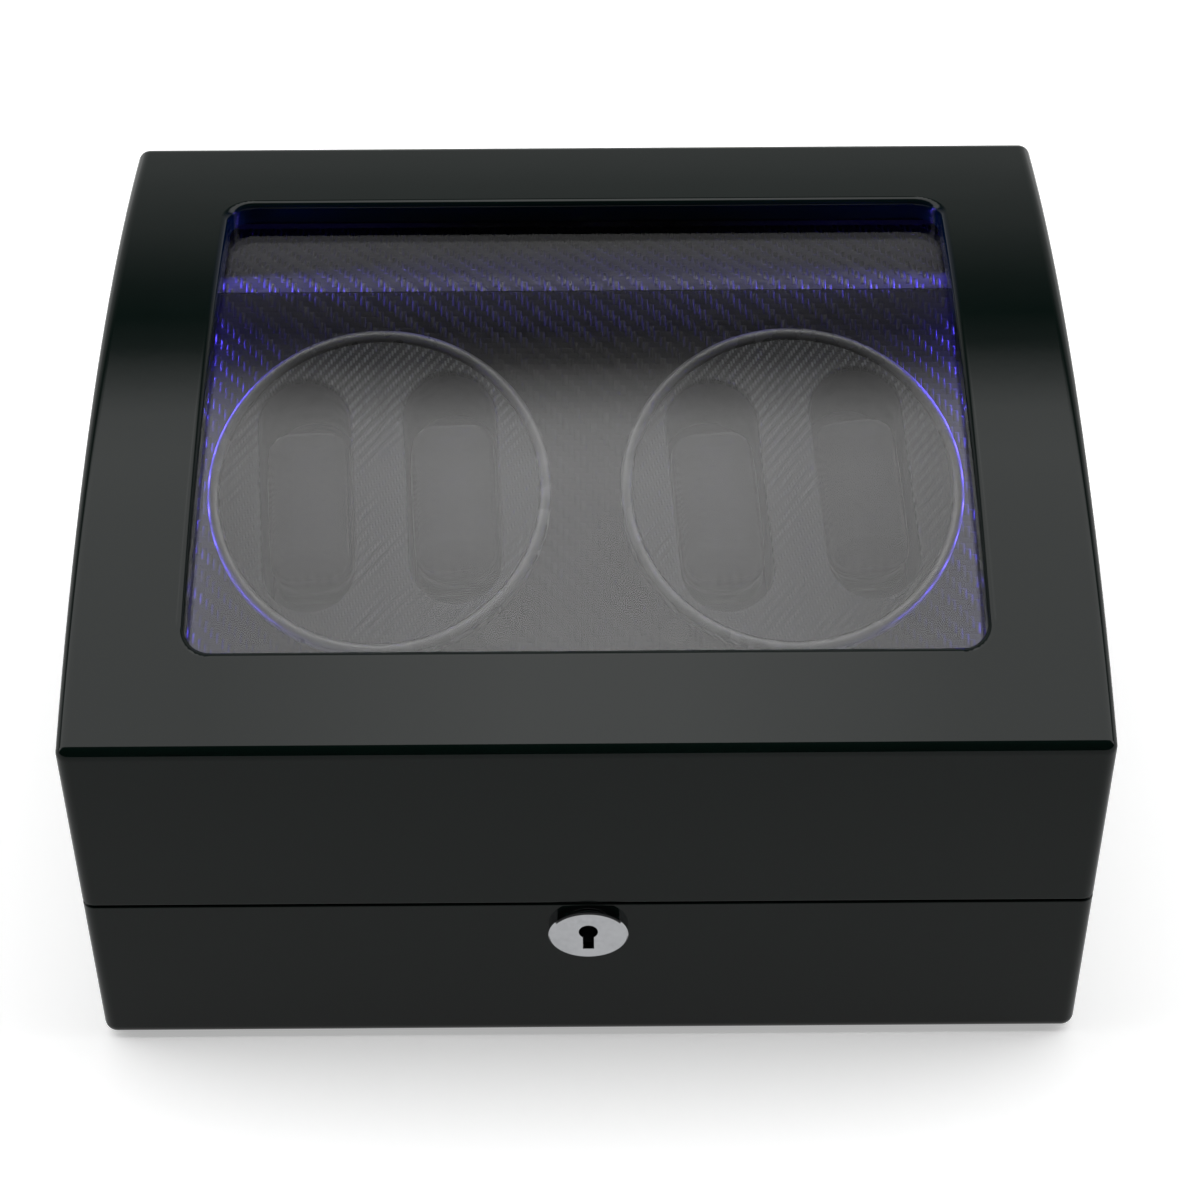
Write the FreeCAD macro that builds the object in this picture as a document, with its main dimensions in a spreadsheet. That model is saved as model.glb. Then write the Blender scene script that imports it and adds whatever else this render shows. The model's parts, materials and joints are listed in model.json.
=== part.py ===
"""Two-turntable watch winder box: lacquered case, arched glazed lid, sloping deck and drive.

Frame: millimetres, +X to the right seen from the front, +Y to the back, +Z up.
The origin is the centre of the felt face that the box stands on.
"""
import FreeCAD, Part
import math
import operator
import os
import Sketcher

doc = FreeCAD.newDocument("watch_winder_box")
sheet = doc.addObject("Spreadsheet::Sheet", "dims")

# Driving dimensions: name, number, what it measures
SIZES = [
    ("case_width", 340.0, "outside width of the case"),
    ("case_depth", 280.0, "outside depth of the case"),
    ("case_height", 191.4, "table to the highest line of the lid"),
    ("split_height", 68.0, "table to the top edge of the base"),
    ("split_gap", 0.5, "closed gap between base and lid"),
    ("felt_thickness", 1.5, "felt under the base"),
    ("felt_inset", 6.0, "felt edge back from the case edge"),
    ("wall", 12.0, "thickness of the case boards"),
    ("floor_thickness", 8.0, "thickness of the base floor"),
    ("edge_round", 4.5, "rounding of the outer edges"),
    ("split_round", 0.8, "rounding of the edges at the split"),
    ("lid_arc_radius", 544.0, "side profile arc of the lid top"),
    ("lid_apex_back", 92.0, "highest line of the lid behind the centre"),
    ("frame_side", 39.0, "lid frame beside the window opening"),
    ("frame_front", 34.4, "lid frame in front of the window opening"),
    ("frame_back", 43.0, "lid frame behind the window opening"),
    ("window_corner", 9.0, "corner radius of the window opening"),
    ("window_edge_round", 2.5, "rounded upper edge of the window opening"),
    ("pane_inset", 8.0, "lid surface down to the pane"),
    ("pane_thickness", 3.0, "acrylic pane"),
    ("pane_lap", 6.0, "pane seat beyond the opening on each side"),
    ("pane_clearance", 0.4, "pane edge to its seat"),
    ("retainer_thickness", 2.0, "frame that holds the pane from below"),
    ("retainer_back", 1.0, "retainer opening back from the window opening"),
    ("retainer_lap", 9.0, "retainer beyond the pane seat"),
    ("hinge_spacing", 200.0, "between the two hinges"),
    ("hinge_length", 34.0, "length of a hinge leaf"),
    ("leaf_width", 10.0, "hinge leaf let into the board edge"),
    ("leaf_thickness", 1.2, "hinge leaf"),
    ("barrel_radius", 2.8, "hinge barrel"),
    ("barrel_stand", 0.3, "hinge barrel clear of the rear face"),
    ("hinge_pin_radius", 1.2, "hinge pin"),
    ("running_clearance", 0.05, "radial clearance of turning fits"),
    ("knuckle_gap", 0.35, "gap between knuckles"),
    ("knuckle_count", 5.0, "knuckles of a hinge"),
    ("wood_screw_radius", 1.2, "shank of the small wood screws"),
    ("wood_screw_head", 2.2, "head radius of the small wood screws"),
    ("wood_screw_length", 8.0, "small wood screw below its head"),
    ("head_height", 1.2, "head of the small screws"),
    ("lock_drop", 10.4, "top edge of the base to the keyhole centre"),
    ("lock_width", 40.0, "lock case, left to right"),
    ("lock_case_height", 30.0, "lock case below the split"),
    ("lock_set_back", 5.0, "wood left in front of the lock case"),
    ("lock_thickness", 13.0, "lock case, front to back"),
    ("lock_wall", 2.0, "wall of the lock case"),
    ("lock_travel", 6.5, "bolt travel"),
    ("bolt_height", 2.4, "bolt nose, top to bottom"),
    ("bolt_nose", 2.4, "bolt nose, front to back"),
    ("staple_thickness", 3.0, "strike staple along the bolt"),
    ("staple_width", 6.0, "strike staple, front to back"),
    ("staple_clearance", 0.7, "bolt nose in the staple eye"),
    ("strike_width", 34.0, "strike plate, left to right"),
    ("strike_depth", 9.0, "strike plate, front to back"),
    ("strike_thickness", 1.5, "strike plate"),
    ("escutcheon_width", 27.0, "keyhole plate, left to right"),
    ("escutcheon_height", 22.0, "keyhole plate, top to bottom"),
    ("escutcheon_drop", 1.9, "keyhole centre down to the middle of its plate"),
    ("escutcheon_thickness", 3.2, "keyhole plate proud of the front"),
    ("escutcheon_bevel", 0.5, "bevel of the keyhole plate"),
    ("key_radius", 3.25, "round part of the keyhole"),
    ("key_slot_width", 3.8, "slot of the keyhole"),
    ("key_slot_drop", 8.4, "keyhole centre down to the slot end"),
    ("deck_thickness", 6.0, "deck board"),
    ("deck_seat", 4.0, "deck's lower edge on the front rail"),
    ("turntable_set", 84.2, "turntable axes below the deck's upper edge, along the slope"),
    ("rail_drop", 2.0, "front rail below the top edge of the base"),
    ("rail_depth", 32.0, "front rail, front to back"),
    ("rail_thickness", 12.0, "front rail, top to bottom"),
    ("cheek_thickness", 8.0, "side cheeks of the console"),
    ("cheek_clearance", 1.0, "cheek to the case wall"),
    ("cheek_rise", 12.0, "cheek edge above the deck"),
    ("back_gap", 36.0, "console back panel to the rear board"),
    ("back_panel_thickness", 6.0, "console back panel"),
    ("ledge_front", 22.0, "fold of the ledge in front of the back panel's back face"),
    ("ledge_depth", 46.0, "ledge behind the deck, front to back"),
    ("ledge_drop", 16.0, "ledge, top to bottom"),
    ("ledge_gap", 0.4, "ledge to the edge of the deck"),
    ("ledge_lap", 5.0, "ledge past its fold, down the slope"),
    ("ledge_round", 12.0, "rounded fold of the ledge"),
    ("ceiling_clearance", 3.5, "console top to the pane retainer"),
    ("rim_side_gap", 14.7, "turntable rim to the cheek"),
    ("rim_middle_gap", 24.6, "between the two turntable rims"),
    ("rim_height", 8.0, "rim above the deck"),
    ("rim_width", 4.0, "rim bead, in radius"),
    ("rim_depth", 5.0, "rim bead, top to bottom"),
    ("rim_round", 1.8, "rounded rim bead"),
    ("drum_wall", 2.6, "drum wall"),
    ("drum_depth", 40.0, "drum bottom below the deck"),
    ("drum_floor", 3.0, "drum bottom plate"),
    ("drum_clearance", 1.2, "drum wall to the hole in the deck"),
    ("face_recess", 1.5, "face below the rim"),
    ("face_thickness", 3.0, "turntable face plate"),
    ("face_clearance", 0.4, "face edge to the rim"),
    ("pocket_width", 33.0, "watch pocket across"),
    ("pocket_land", 19.0, "face between the two pockets"),
    ("pocket_margin", 2.6, "pocket to the edge of the face"),
    ("pocket_wall", 1.6, "wall of the pocket cup"),
    ("pocket_lip", 1.2, "rounded mouth of the pocket"),
    ("left_turn", 3.0, "rest angle of the left turntable in degrees"),
    ("right_turn", 5.0, "rest angle of the right turntable in degrees"),
    ("pillow_clearance", 0.6, "pillow to the pocket wall"),
    ("strap_room", 13.5, "pillow to the pocket end, room for a strap"),
    ("pillow_corner", 0.55, "pillow corner radius, as a share of its half width"),
    ("pillow_seat", 0.3, "pillow above the pocket floor"),
    ("pillow_height", 38.0, "pillow with its crown"),
    ("pillow_draw", 0.9, "pillow sides drawn in at mid height"),
    ("pillow_edge", 3.0, "pillow sides in at its lower edge"),
    ("pillow_shoulder", 3.2, "pillow sides in at its shoulder"),
    ("pillow_crown", 7.0, "pillow shoulder to crown"),
    ("pillow_top", 10.5, "pillow sides in at its crown"),
    ("hub_radius", 9.0, "drum and gear hubs"),
    ("hub_length", 10.0, "drum hub below the drum bottom"),
    ("spindle_radius", 4.0, "turntable spindle"),
    ("spindle_grip", 0.02, "spindle in its hubs"),
    ("gear_module", 0.8, "module of the gear pair"),
    ("gear_teeth", 70.0, "teeth of the turntable gear"),
    ("pinion_teeth", 14.0, "teeth of the motor pinion"),
    ("gear_backlash", 0.24, "tooth thinning at the pitch circle"),
    ("pressure_angle", 20.0, "pressure angle of the gear pair in degrees"),
    ("tooth_root", 1.25, "tooth root below the pitch circle, in modules"),
    ("gear_thickness", 7.0, "face width of the turntable gear"),
    ("pinion_extra", 0.5, "pinion wider than the gear, each side"),
    ("gear_hub_gap", 0.3, "between hubs, gear and bush"),
    ("gear_hub_length", 4.5, "gear hub below the teeth"),
    ("bush_flange", 1.2, "bush flange thickness"),
    ("bush_radius", 6.5, "bush body"),
    ("bush_length", 14.0, "bush below its flange"),
    ("collar_radius", 6.0, "collar on the spindle foot"),
    ("collar_height", 3.5, "collar on the spindle foot"),
    ("chassis_thickness", 2.5, "steel chassis plate"),
    ("chassis_gap", 20.0, "chassis plate to the cheek"),
    ("chassis_length", 112.0, "chassis plate along the slope"),
    ("post_radius", 4.0, "chassis posts"),
    ("post_side_inset", 8.0, "outer posts in from the sides of the chassis plate"),
    ("post_end_inset", 6.0, "posts in from the ends of the chassis plate"),
    ("machine_screw_radius", 1.5, "shank of the machine screws"),
    ("machine_screw_head", 2.8, "head radius of the machine screws"),
    ("machine_head_height", 2.0, "head of the machine screws"),
    ("machine_screw_length", 8.0, "machine screw beyond the plate"),
    ("motor_radius", 17.0, "gear motor can"),
    ("motor_length", 30.0, "gear motor can"),
    ("motor_shaft_radius", 2.5, "gear motor shaft"),
    ("motor_shaft_depth", 8.0, "shaft inside the motor"),
    ("ear_spread", 21.5, "motor screw from the motor axis"),
    ("ear_radius", 5.0, "end of the motor ear"),
    ("ear_thickness", 1.5, "motor ear"),
    ("knob_rim_gap", 2.6, "mode knob to the turntable rim"),
    ("knob_drop", 54.0, "mode knob below the turntable axes, along the slope"),
    ("knob_radius", 5.0, "mode knob"),
    ("knob_height", 9.0, "mode knob"),
    ("knob_gap", 0.6, "mode knob above the deck"),
    ("knob_stem_radius", 3.0, "mode knob stem"),
    ("knob_stem_depth", 12.0, "mode knob stem below the deck face"),
    ("knob_stem_clearance", 0.4, "mode knob stem in the deck"),
    ("knob_flute", 0.45, "depth of the knob's grip flutes"),
    ("knob_flutes", 14.0, "flutes around the knob"),
    ("switch_radius", 7.5, "rotary switch body"),
    ("switch_depth", 14.0, "rotary switch body"),
    ("led_pitch", 14.5, "between the lamps of a strip"),
    ("led_margin", 16.0, "top lamp below the deck's upper edge"),
    ("led_count", 11.0, "lamps of a strip"),
    ("led_level", 3.2, "lamp centre above the deck"),
    ("led_length", 3.5, "lamp along the strip"),
    ("led_width", 2.8, "lamp across the strip"),
    ("led_thickness", 1.6, "lamp off the strip"),
    ("strip_width", 4.8, "lamp strip, across"),
    ("strip_thickness", 1.0, "lamp strip"),
    ("strip_margin", 4.0, "lamp strip past its end lamps"),
    ("board_width", 76.0, "control board, left to right"),
    ("board_depth", 46.0, "control board, front to back"),
    ("board_thickness", 1.6, "control board"),
    ("board_place", -58.0, "control board centre behind the case centre"),
    ("board_inset", 4.0, "board screw from the board edge"),
    ("standoff_radius", 3.0, "control board standoff"),
    ("standoff_height", 6.0, "control board standoff"),
    ("jack_place", 60.0, "power socket from the middle"),
    ("jack_height", 30.0, "power socket above the table"),
    ("jack_radius", 5.5, "power socket barrel"),
    ("jack_flange_radius", 7.5, "power socket flange"),
    ("jack_flange", 1.6, "power socket flange thickness"),
    ("jack_bore", 2.75, "power socket bore"),
    ("jack_bore_depth", 9.0, "power socket bore depth"),
    ("jack_pin", 1.0, "power socket centre pin"),
    ("jack_tail", 6.0, "power socket behind its nut"),
    ("nut_thickness", 2.5, "power socket nut"),
    ("nut_radius", 8.0, "power socket nut, corner to corner"),
]


class Dim:
    """A size: its number and the sheet formula that gives it."""

    def __init__(self, value, text):
        self.value = value
        self.text = text

    def __add__(self, other):
        return join(self, other, "+")

    def __radd__(self, other):
        return join(other, self, "+")

    def __sub__(self, other):
        return join(self, other, "-")

    def __rsub__(self, other):
        return join(other, self, "-")

    def __mul__(self, other):
        return join(self, other, "*")

    def __rmul__(self, other):
        return join(other, self, "*")

    def __truediv__(self, other):
        return join(self, other, "/")

    def __neg__(self):
        return join(0.0, self, "-")


SIGNS = {"+": operator.add, "-": operator.sub, "*": operator.mul, "/": operator.truediv}


def as_dim(item):
    """A plain number as a size."""
    if isinstance(item, Dim):
        return item
    return Dim(float(item), "(%.9g)" % item)


def join(first, second, sign):
    """Two sizes with a sign between them."""
    one = as_dim(first)
    two = as_dim(second)
    return Dim(SIGNS[sign](one.value, two.value), "(%s %s %s)" % (one.text, sign, two.text))


def sine(angle):
    return Dim(math.sin(math.radians(angle.value)), "sin(%s)" % angle.text)


def cosine(angle):
    return Dim(math.cos(math.radians(angle.value)), "cos(%s)" % angle.text)


def arc_sine(ratio):
    return Dim(math.degrees(math.asin(ratio.value)), "asin(%s)" % ratio.text)


def root(item):
    return Dim(math.sqrt(item.value), "sqrt(%s)" % item.text)


class Sizes:
    """The sheet's sizes by name."""


d = Sizes()
for row, (alias, number, meaning) in enumerate(SIZES, start=1):
    sheet.set("A%d" % row, meaning)
    sheet.set("B%d" % row, str(number))
    sheet.setAlias("B%d" % row, alias)
    setattr(d, alias, Dim(number, "dims." + alias))
doc.recompute()

nodes = []
ALONG_X = ((0, 1, 0), 90)
ALONG_Y = ((1, 0, 0), -90)
UPRIGHT = ((0, 0, 1), 0)
FACE_DOWN = ((1, 0, 0), 180)


# Helpers for places, primitives and booleans

def bind(thing, name, item):
    """Bind a property to a size."""
    thing.setExpression(name, as_dim(item).text)


def frame(x=0, y=0, z=0, turn=UPRIGHT):
    """The formula of a placement."""
    axis, angle = turn
    spot = "; ".join(as_dim(item).text for item in (x, y, z))
    line = "; ".join(str(item) for item in axis)
    return "placement(vector(%s); rotation(vector(%s); %s))" % (spot, line, as_dim(angle).text)


def place(thing, *frames):
    """Bind an object's placement to a chain of frames."""
    thing.setExpression("Placement", " * ".join(frames))
    return thing


def block(name, low, high, *frames):
    """A box between two corners."""
    thing = doc.addObject("Part::Box", name)
    for side, start, end in zip(("Length", "Width", "Height"), low, high):
        bind(thing, side, as_dim(end) - start)
    return place(thing, *frames, frame(*low))


def rod(name, radius, length, at=(0, 0, 0), turn=UPRIGHT, frames=()):
    """A cylinder from a point, upright or along an axis."""
    thing = doc.addObject("Part::Cylinder", name)
    bind(thing, "Radius", radius)
    bind(thing, "Height", length)
    return place(thing, *frames, frame(*at, turn))


def fuse(name, pieces):
    thing = doc.addObject("Part::MultiFuse", name)
    thing.Shapes = pieces
    thing.Refine = True
    return thing


def cut(name, base, tools):
    """A piece less one or more tools."""
    tool = tools[0]
    if len(tools) > 1:
        tool = doc.addObject("Part::Compound", name + "_tools")
        tool.Links = tools
    thing = doc.addObject("Part::Cut", name)
    thing.Base = base
    thing.Tool = tool
    thing.Refine = True
    return thing


def common(name, base, tool):
    thing = doc.addObject("Part::Common", name)
    thing.Base = base
    thing.Tool = tool
    thing.Refine = True
    return thing


def group(name, pieces):
    """Identical pieces in one node."""
    thing = doc.addObject("Part::Compound", name)
    thing.Links = pieces
    return thing


def node(label, thing):
    """Name a finished sub-part and put it on the list to write."""
    thing.Label = label
    nodes.append((label, thing))
    return thing


# Helpers for bodies and sketches

def new_body(name):
    return doc.addObject("PartDesign::Body", name)


def new_sketch(body, name, role):
    """A sketch on one of the body's own origin planes."""
    plane = [item for item in body.Origin.OriginFeatures if item.Role == role][0]
    sketch = body.newObject("Sketcher::SketchObject", name)
    sketch.AttachmentSupport = [(plane, "")]
    sketch.MapMode = "FlatFace"
    return sketch


def datum(sketch, kind, where, item):
    """A sketch measure bound to a size."""
    size = as_dim(item)
    index = sketch.addConstraint(Sketcher.Constraint(kind, *where, size.value))
    label = "%s_%d" % (kind, index)
    sketch.renameConstraint(index, label)
    sketch.setExpression("Constraints." + label, size.text)


def outline(sketch, points):
    """A closed run of straight lines with every corner bound."""
    corners = [(as_dim(x), as_dim(y)) for x, y in points]
    spots = [FreeCAD.Vector(x.value, y.value, 0) for x, y in corners]
    first = sketch.GeometryCount
    count = len(spots)
    for index in range(count):
        sketch.addGeometry(Part.LineSegment(spots[index], spots[(index + 1) % count]), False)
    for index in range(count):
        after = first + (index + 1) % count
        sketch.addConstraint(Sketcher.Constraint("Coincident", first + index, 2, after, 1))
    for index, (x, y) in enumerate(corners):
        datum(sketch, "DistanceX", (-1, 1, first + index, 1), x)
        datum(sketch, "DistanceY", (-1, 1, first + index, 1), y)


def oblong(half, low, high):
    """Corners of a rectangle that is centred left to right."""
    return [(-half, low), (half, low), (half, high), (-half, high)]


def stadium(sketch, x, reach, radius):
    """A slot along Y: two straight sides and two half-round ends."""
    across = as_dim(x)
    up = FreeCAD.Vector(across.value, reach.value, 0)
    down = FreeCAD.Vector(across.value, -reach.value, 0)
    side = FreeCAD.Vector(radius.value, 0, 0)
    first = sketch.GeometryCount
    normal = FreeCAD.Vector(0, 0, 1)
    sketch.addGeometry(Part.ArcOfCircle(Part.Circle(up, normal, radius.value), 0, math.pi), False)
    sketch.addGeometry(Part.LineSegment(up - side, down - side), False)
    end = Part.Circle(down, normal, radius.value)
    sketch.addGeometry(Part.ArcOfCircle(end, math.pi, 2 * math.pi), False)
    sketch.addGeometry(Part.LineSegment(down + side, up + side), False)
    for index in range(4):
        after = first + (index + 1) % 4
        sketch.addConstraint(Sketcher.Constraint("Tangent", first + index, 2, after, 1))
    sketch.addConstraint(Sketcher.Constraint("Equal", first, first + 2))
    datum(sketch, "Radius", (first,), radius)
    datum(sketch, "DistanceX", (-1, 1, first, 3), across)
    datum(sketch, "DistanceY", (-1, 1, first, 3), reach)
    datum(sketch, "DistanceX", (-1, 1, first + 2, 3), across)
    datum(sketch, "DistanceY", (-1, 1, first + 2, 3), -reach)


def ring(sketch, x, y, radius):
    """A circle."""
    across = as_dim(x)
    along = as_dim(y)
    spot = FreeCAD.Vector(across.value, along.value, 0)
    index = sketch.GeometryCount
    sketch.addGeometry(Part.Circle(spot, FreeCAD.Vector(0, 0, 1), radius.value), False)
    datum(sketch, "Radius", (index,), radius)
    datum(sketch, "DistanceX", (-1, 1, index, 3), across)
    datum(sketch, "DistanceY", (-1, 1, index, 3), along)


def arched(sketch, front, back, bottom, radius):
    """A side profile: flat bottom, upright ends and the lid's arc on top."""
    middle = d.lid_apex_back
    centre = d.case_height - d.lid_arc_radius
    hub = FreeCAD.Vector(middle.value, centre.value, 0)
    heights = []
    for end in (front, back):
        offset = end.value - middle.value
        heights.append(centre.value + math.sqrt(radius.value ** 2 - offset ** 2))
    low_front = FreeCAD.Vector(front.value, bottom.value, 0)
    low_back = FreeCAD.Vector(back.value, bottom.value, 0)
    high_front = FreeCAD.Vector(front.value, heights[0], 0)
    high_back = FreeCAD.Vector(back.value, heights[1], 0)
    start = math.atan2(high_back.y - hub.y, high_back.x - hub.x)
    end = math.atan2(high_front.y - hub.y, high_front.x - hub.x)
    circle = Part.Circle(hub, FreeCAD.Vector(0, 0, 1), radius.value)
    sketch.addGeometry(Part.LineSegment(low_front, low_back), False)
    sketch.addGeometry(Part.LineSegment(low_back, high_back), False)
    sketch.addGeometry(Part.ArcOfCircle(circle, start, end), False)
    sketch.addGeometry(Part.LineSegment(high_front, low_front), False)
    for index in range(4):
        sketch.addConstraint(Sketcher.Constraint("Coincident", index, 2, (index + 1) % 4, 1))
    sketch.addConstraint(Sketcher.Constraint("Horizontal", 0))
    sketch.addConstraint(Sketcher.Constraint("Vertical", 1))
    sketch.addConstraint(Sketcher.Constraint("Vertical", 3))
    datum(sketch, "DistanceX", (-1, 1, 0, 1), front)
    datum(sketch, "DistanceY", (-1, 1, 0, 1), bottom)
    datum(sketch, "DistanceX", (-1, 1, 0, 2), back)
    datum(sketch, "DistanceX", (-1, 1, 2, 3), middle)
    datum(sketch, "DistanceY", (-1, 1, 2, 3), centre)
    datum(sketch, "Radius", (2,), radius)


def pad(body, sketch, length, sides="One side", backwards=False):
    """A pad of a sketch."""
    feature = body.newObject("PartDesign::Pad", sketch.Name + "_pad")
    feature.Profile = sketch
    feature.SideType = sides
    feature.Reversed = backwards
    bind(feature, "Length", length)
    doc.recompute()
    return feature


def pocket(body, sketch, length, sides="Symmetric", backwards=False):
    """A pocket of a sketch, which has to take material away."""
    before = body.Shape.Volume
    feature = body.newObject("PartDesign::Pocket", sketch.Name + "_pocket")
    feature.Profile = sketch
    feature.SideType = sides
    feature.Reversed = backwards
    bind(feature, "Length", length)
    doc.recompute()
    if body.Shape.Volume >= before:
        raise RuntimeError(feature.Name + " cuts nothing")
    return feature


def revolve(body, sketch):
    """A full turn of a profile drawn as radius and height."""
    feature = body.newObject("PartDesign::Revolution", sketch.Name + "_turn")
    feature.Profile = sketch
    feature.ReferenceAxis = (sketch, ["V_Axis"])
    feature.Angle = 360
    doc.recompute()
    return feature


def round_edges(body, name, radius, test, kind="PartDesign::Fillet"):
    """Round or bevel the edges of the body's last feature that pass a test."""
    last = body.Tip
    edges = last.Shape.Edges
    picked = ["Edge%d" % (index + 1) for index, edge in enumerate(edges) if test(edge)]
    if not picked:
        raise RuntimeError(name + " finds no edge")
    feature = body.newObject(kind, name)
    feature.Base = (last, picked)
    bind(feature, "Radius" if kind == "PartDesign::Fillet" else "Size", radius)
    doc.recompute()
    return feature


def near(one, two):
    return abs(one - two) < 1e-4


def box_of(edge):
    return edge.BoundBox


# Case: shared places

half_width = d.case_width / 2
half_depth = d.case_depth / 2
inner_width = half_width - d.wall
inner_depth = half_depth - d.wall
lid_bottom = d.split_height + d.split_gap
lid_top_thickness = d.pane_inset + d.pane_thickness
ceiling_radius = d.lid_arc_radius - lid_top_thickness
arc_height = d.case_height - d.lid_arc_radius
window_width = d.case_width - 2 * d.frame_side
window_front = d.frame_front - half_depth
window_back = half_depth - d.frame_back
window_length = window_back - window_front
floor_top = d.felt_thickness + d.floor_thickness
overcut = 1.0


def arc_rod(name, radius):
    """A cylinder about the lid's arc, wider than the case."""
    length = d.case_width + 2 * overcut
    return rod(name, radius, length, (-half_width - overcut, d.lid_apex_back, arc_height), ALONG_X)


def mitre(name, turned, side):
    """A wedge of space that holds one case board, cut at 45 degrees at both ends."""
    body = new_body(name)
    sketch = new_sketch(body, name + "_sketch", "XY_Plane")
    across, along = (half_depth, half_width) if turned else (half_width, half_depth)
    outer = along + overcut
    inner = along - d.wall - overcut
    wide = across + overcut
    narrow = across - d.wall - overcut
    points = [(-wide, side * outer), (wide, side * outer), (narrow, side * inner), (-narrow, side * inner)]
    if turned:
        points = [(y, x) for x, y in points]
    outline(sketch, points)
    pad(body, sketch, d.case_height + 2 * overcut)
    return body


wedges = {
    "front": mitre("wedge_front", False, -1),
    "rear": mitre("wedge_rear", False, 1),
    "left": mitre("wedge_left", True, -1),
    "right": mitre("wedge_right", True, 1),
}


# Base: four mitred boards, floor and felt

def base_shell():
    """The base as one rounded ring, before it is cut into boards."""
    body = new_body("base_shell")
    sketch = new_sketch(body, "base_plan", "XY_Plane")
    outline(sketch, oblong(half_width, -half_depth, half_depth))
    pad(body, sketch, d.split_height - d.felt_thickness)
    tall = d.split_height.value - d.felt_thickness.value
    round_edges(body, "base_round", d.edge_round, lambda edge: box_of(edge).ZMin < 1e-4)
    round_edges(body, "base_split_round", d.split_round, lambda edge: near(box_of(edge).ZMin, tall))
    inside = new_sketch(body, "base_inside", "XY_Plane")
    outline(inside, oblong(inner_width, -inner_depth, inner_depth))
    pocket(body, inside, 2 * d.case_height)
    return place(body, frame(0, 0, d.felt_thickness))


base_ring = base_shell()
base_boards = {side: common("base_%s_blank" % side, base_ring, wedges[side]) for side in wedges}

node("base_left_board", base_boards["left"])
node("base_right_board", base_boards["right"])
node("base_floor", block("base_floor", (-inner_width, -inner_depth, d.felt_thickness),
                         (inner_width, inner_depth, floor_top)))
node("base_felt", block("base_felt", (d.felt_inset - half_width, d.felt_inset - half_depth, 0),
                        (half_width - d.felt_inset, half_depth - d.felt_inset, d.felt_thickness)))


# Lid: four mitred boards and the arched top panel with its window

def lid_shell():
    """The lid as one rounded, hollow, glazed-to-be block."""
    body = new_body("lid_shell")
    side = new_sketch(body, "lid_side", "YZ_Plane")
    arched(side, -half_depth, half_depth, lid_bottom, d.lid_arc_radius)
    pad(body, side, d.case_width, "Symmetric")
    low = lid_bottom.value
    round_edges(body, "lid_round", d.edge_round, lambda edge: box_of(edge).ZMax > low + 1e-4)
    round_edges(body, "lid_split_round", d.split_round, lambda edge: box_of(edge).ZMax < low + 1e-4)
    hollow = new_sketch(body, "lid_hollow", "YZ_Plane")
    arched(hollow, -inner_depth, inner_depth, lid_bottom - overcut, ceiling_radius)
    pocket(body, hollow, 2 * inner_width)
    seat = new_sketch(body, "pane_seat", "YZ_Plane")
    arched(seat, window_front - d.pane_lap, window_back + d.pane_lap, lid_bottom,
           d.lid_arc_radius - d.pane_inset)
    pocket(body, seat, window_width + 2 * d.pane_lap)
    hole = new_sketch(body, "window_hole", "XY_Plane")
    reach = window_width / 2
    outline(hole, oblong(reach, window_front, window_back))
    pocket(body, hole, 2 * d.case_height)
    low_corner = lid_bottom.value + d.wall.value
    outer = d.lid_arc_radius.value

    def on_corner(edge):
        box = box_of(edge)
        upright = near(box.XLength, 0) and near(box.YLength, 0)
        return upright and near(abs(box.XMin), reach.value) and box.ZMin > low_corner

    def on_mouth(edge):
        for vertex in edge.Vertexes:
            height = math.hypot(vertex.Y - d.lid_apex_back.value, vertex.Z - arc_height.value)
            if not near(height, outer):
                return False
        box = box_of(edge)
        inside_x = abs(box.XMin) < reach.value + 1e-3 and abs(box.XMax) < reach.value + 1e-3
        return inside_x and box.YMin > window_front.value - 1e-3 and box.YMax < window_back.value + 1e-3

    round_edges(body, "window_corners", d.window_corner, on_corner)
    round_edges(body, "window_mouth", d.window_edge_round, on_mouth)
    return body


lid_block = lid_shell()
under_lid = arc_rod("under_lid", ceiling_radius)
lid_walls = common("lid_walls", lid_block, under_lid)
lid_boards = {side: common("lid_%s_blank" % side, lid_walls, wedges[side]) for side in wedges}
lid_top = cut("lid_top_blank", lid_block, [under_lid])

node("lid_left_board", lid_boards["left"])
node("lid_right_board", lid_boards["right"])


def curved_sheet(name, front, back, width, radius, thickness):
    """A sheet bent to the lid's arc, its upper face at a radius."""
    body = new_body(name)
    upper = new_sketch(body, name + "_upper", "YZ_Plane")
    arched(upper, front, back, lid_bottom, radius)
    pad(body, upper, width, "Symmetric")
    lower = new_sketch(body, name + "_lower", "YZ_Plane")
    arched(lower, front - overcut, back + overcut, lid_bottom - overcut, radius - thickness)
    pocket(body, lower, width + 2 * overcut)
    return body


pane_front = window_front - d.pane_lap + d.pane_clearance
pane_back = window_back + d.pane_lap - d.pane_clearance
pane_width = window_width + 2 * (d.pane_lap - d.pane_clearance)
node("window_pane", curved_sheet("window_pane", pane_front, pane_back, pane_width,
                                 d.lid_arc_radius - d.pane_inset, d.pane_thickness))

retainer_edge = d.pane_lap + d.retainer_lap
retainer = curved_sheet("retainer_blank", window_front - retainer_edge, window_back + retainer_edge,
                        window_width + 2 * retainer_edge, ceiling_radius, d.retainer_thickness)
retainer_hole = new_sketch(retainer, "retainer_hole", "XY_Plane")
retainer_x = window_width / 2 + d.retainer_back
outline(retainer_hole, oblong(retainer_x, window_front - d.retainer_back, window_back + d.retainer_back))
pocket(retainer, retainer_hole, 2 * d.case_height)


# Screws: a head and a shank in a frame whose +Z is out of the head

def screw(name, frames, radius, head, head_height, length):
    """One screw: head from 0 up, shank from 0 down."""
    top = rod(name + "_head", head, head_height, frames=frames)
    shank = rod(name + "_shank", radius, length + head_height, (0, 0, -length), frames=frames)
    return fuse(name, [top, shank])


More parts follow.
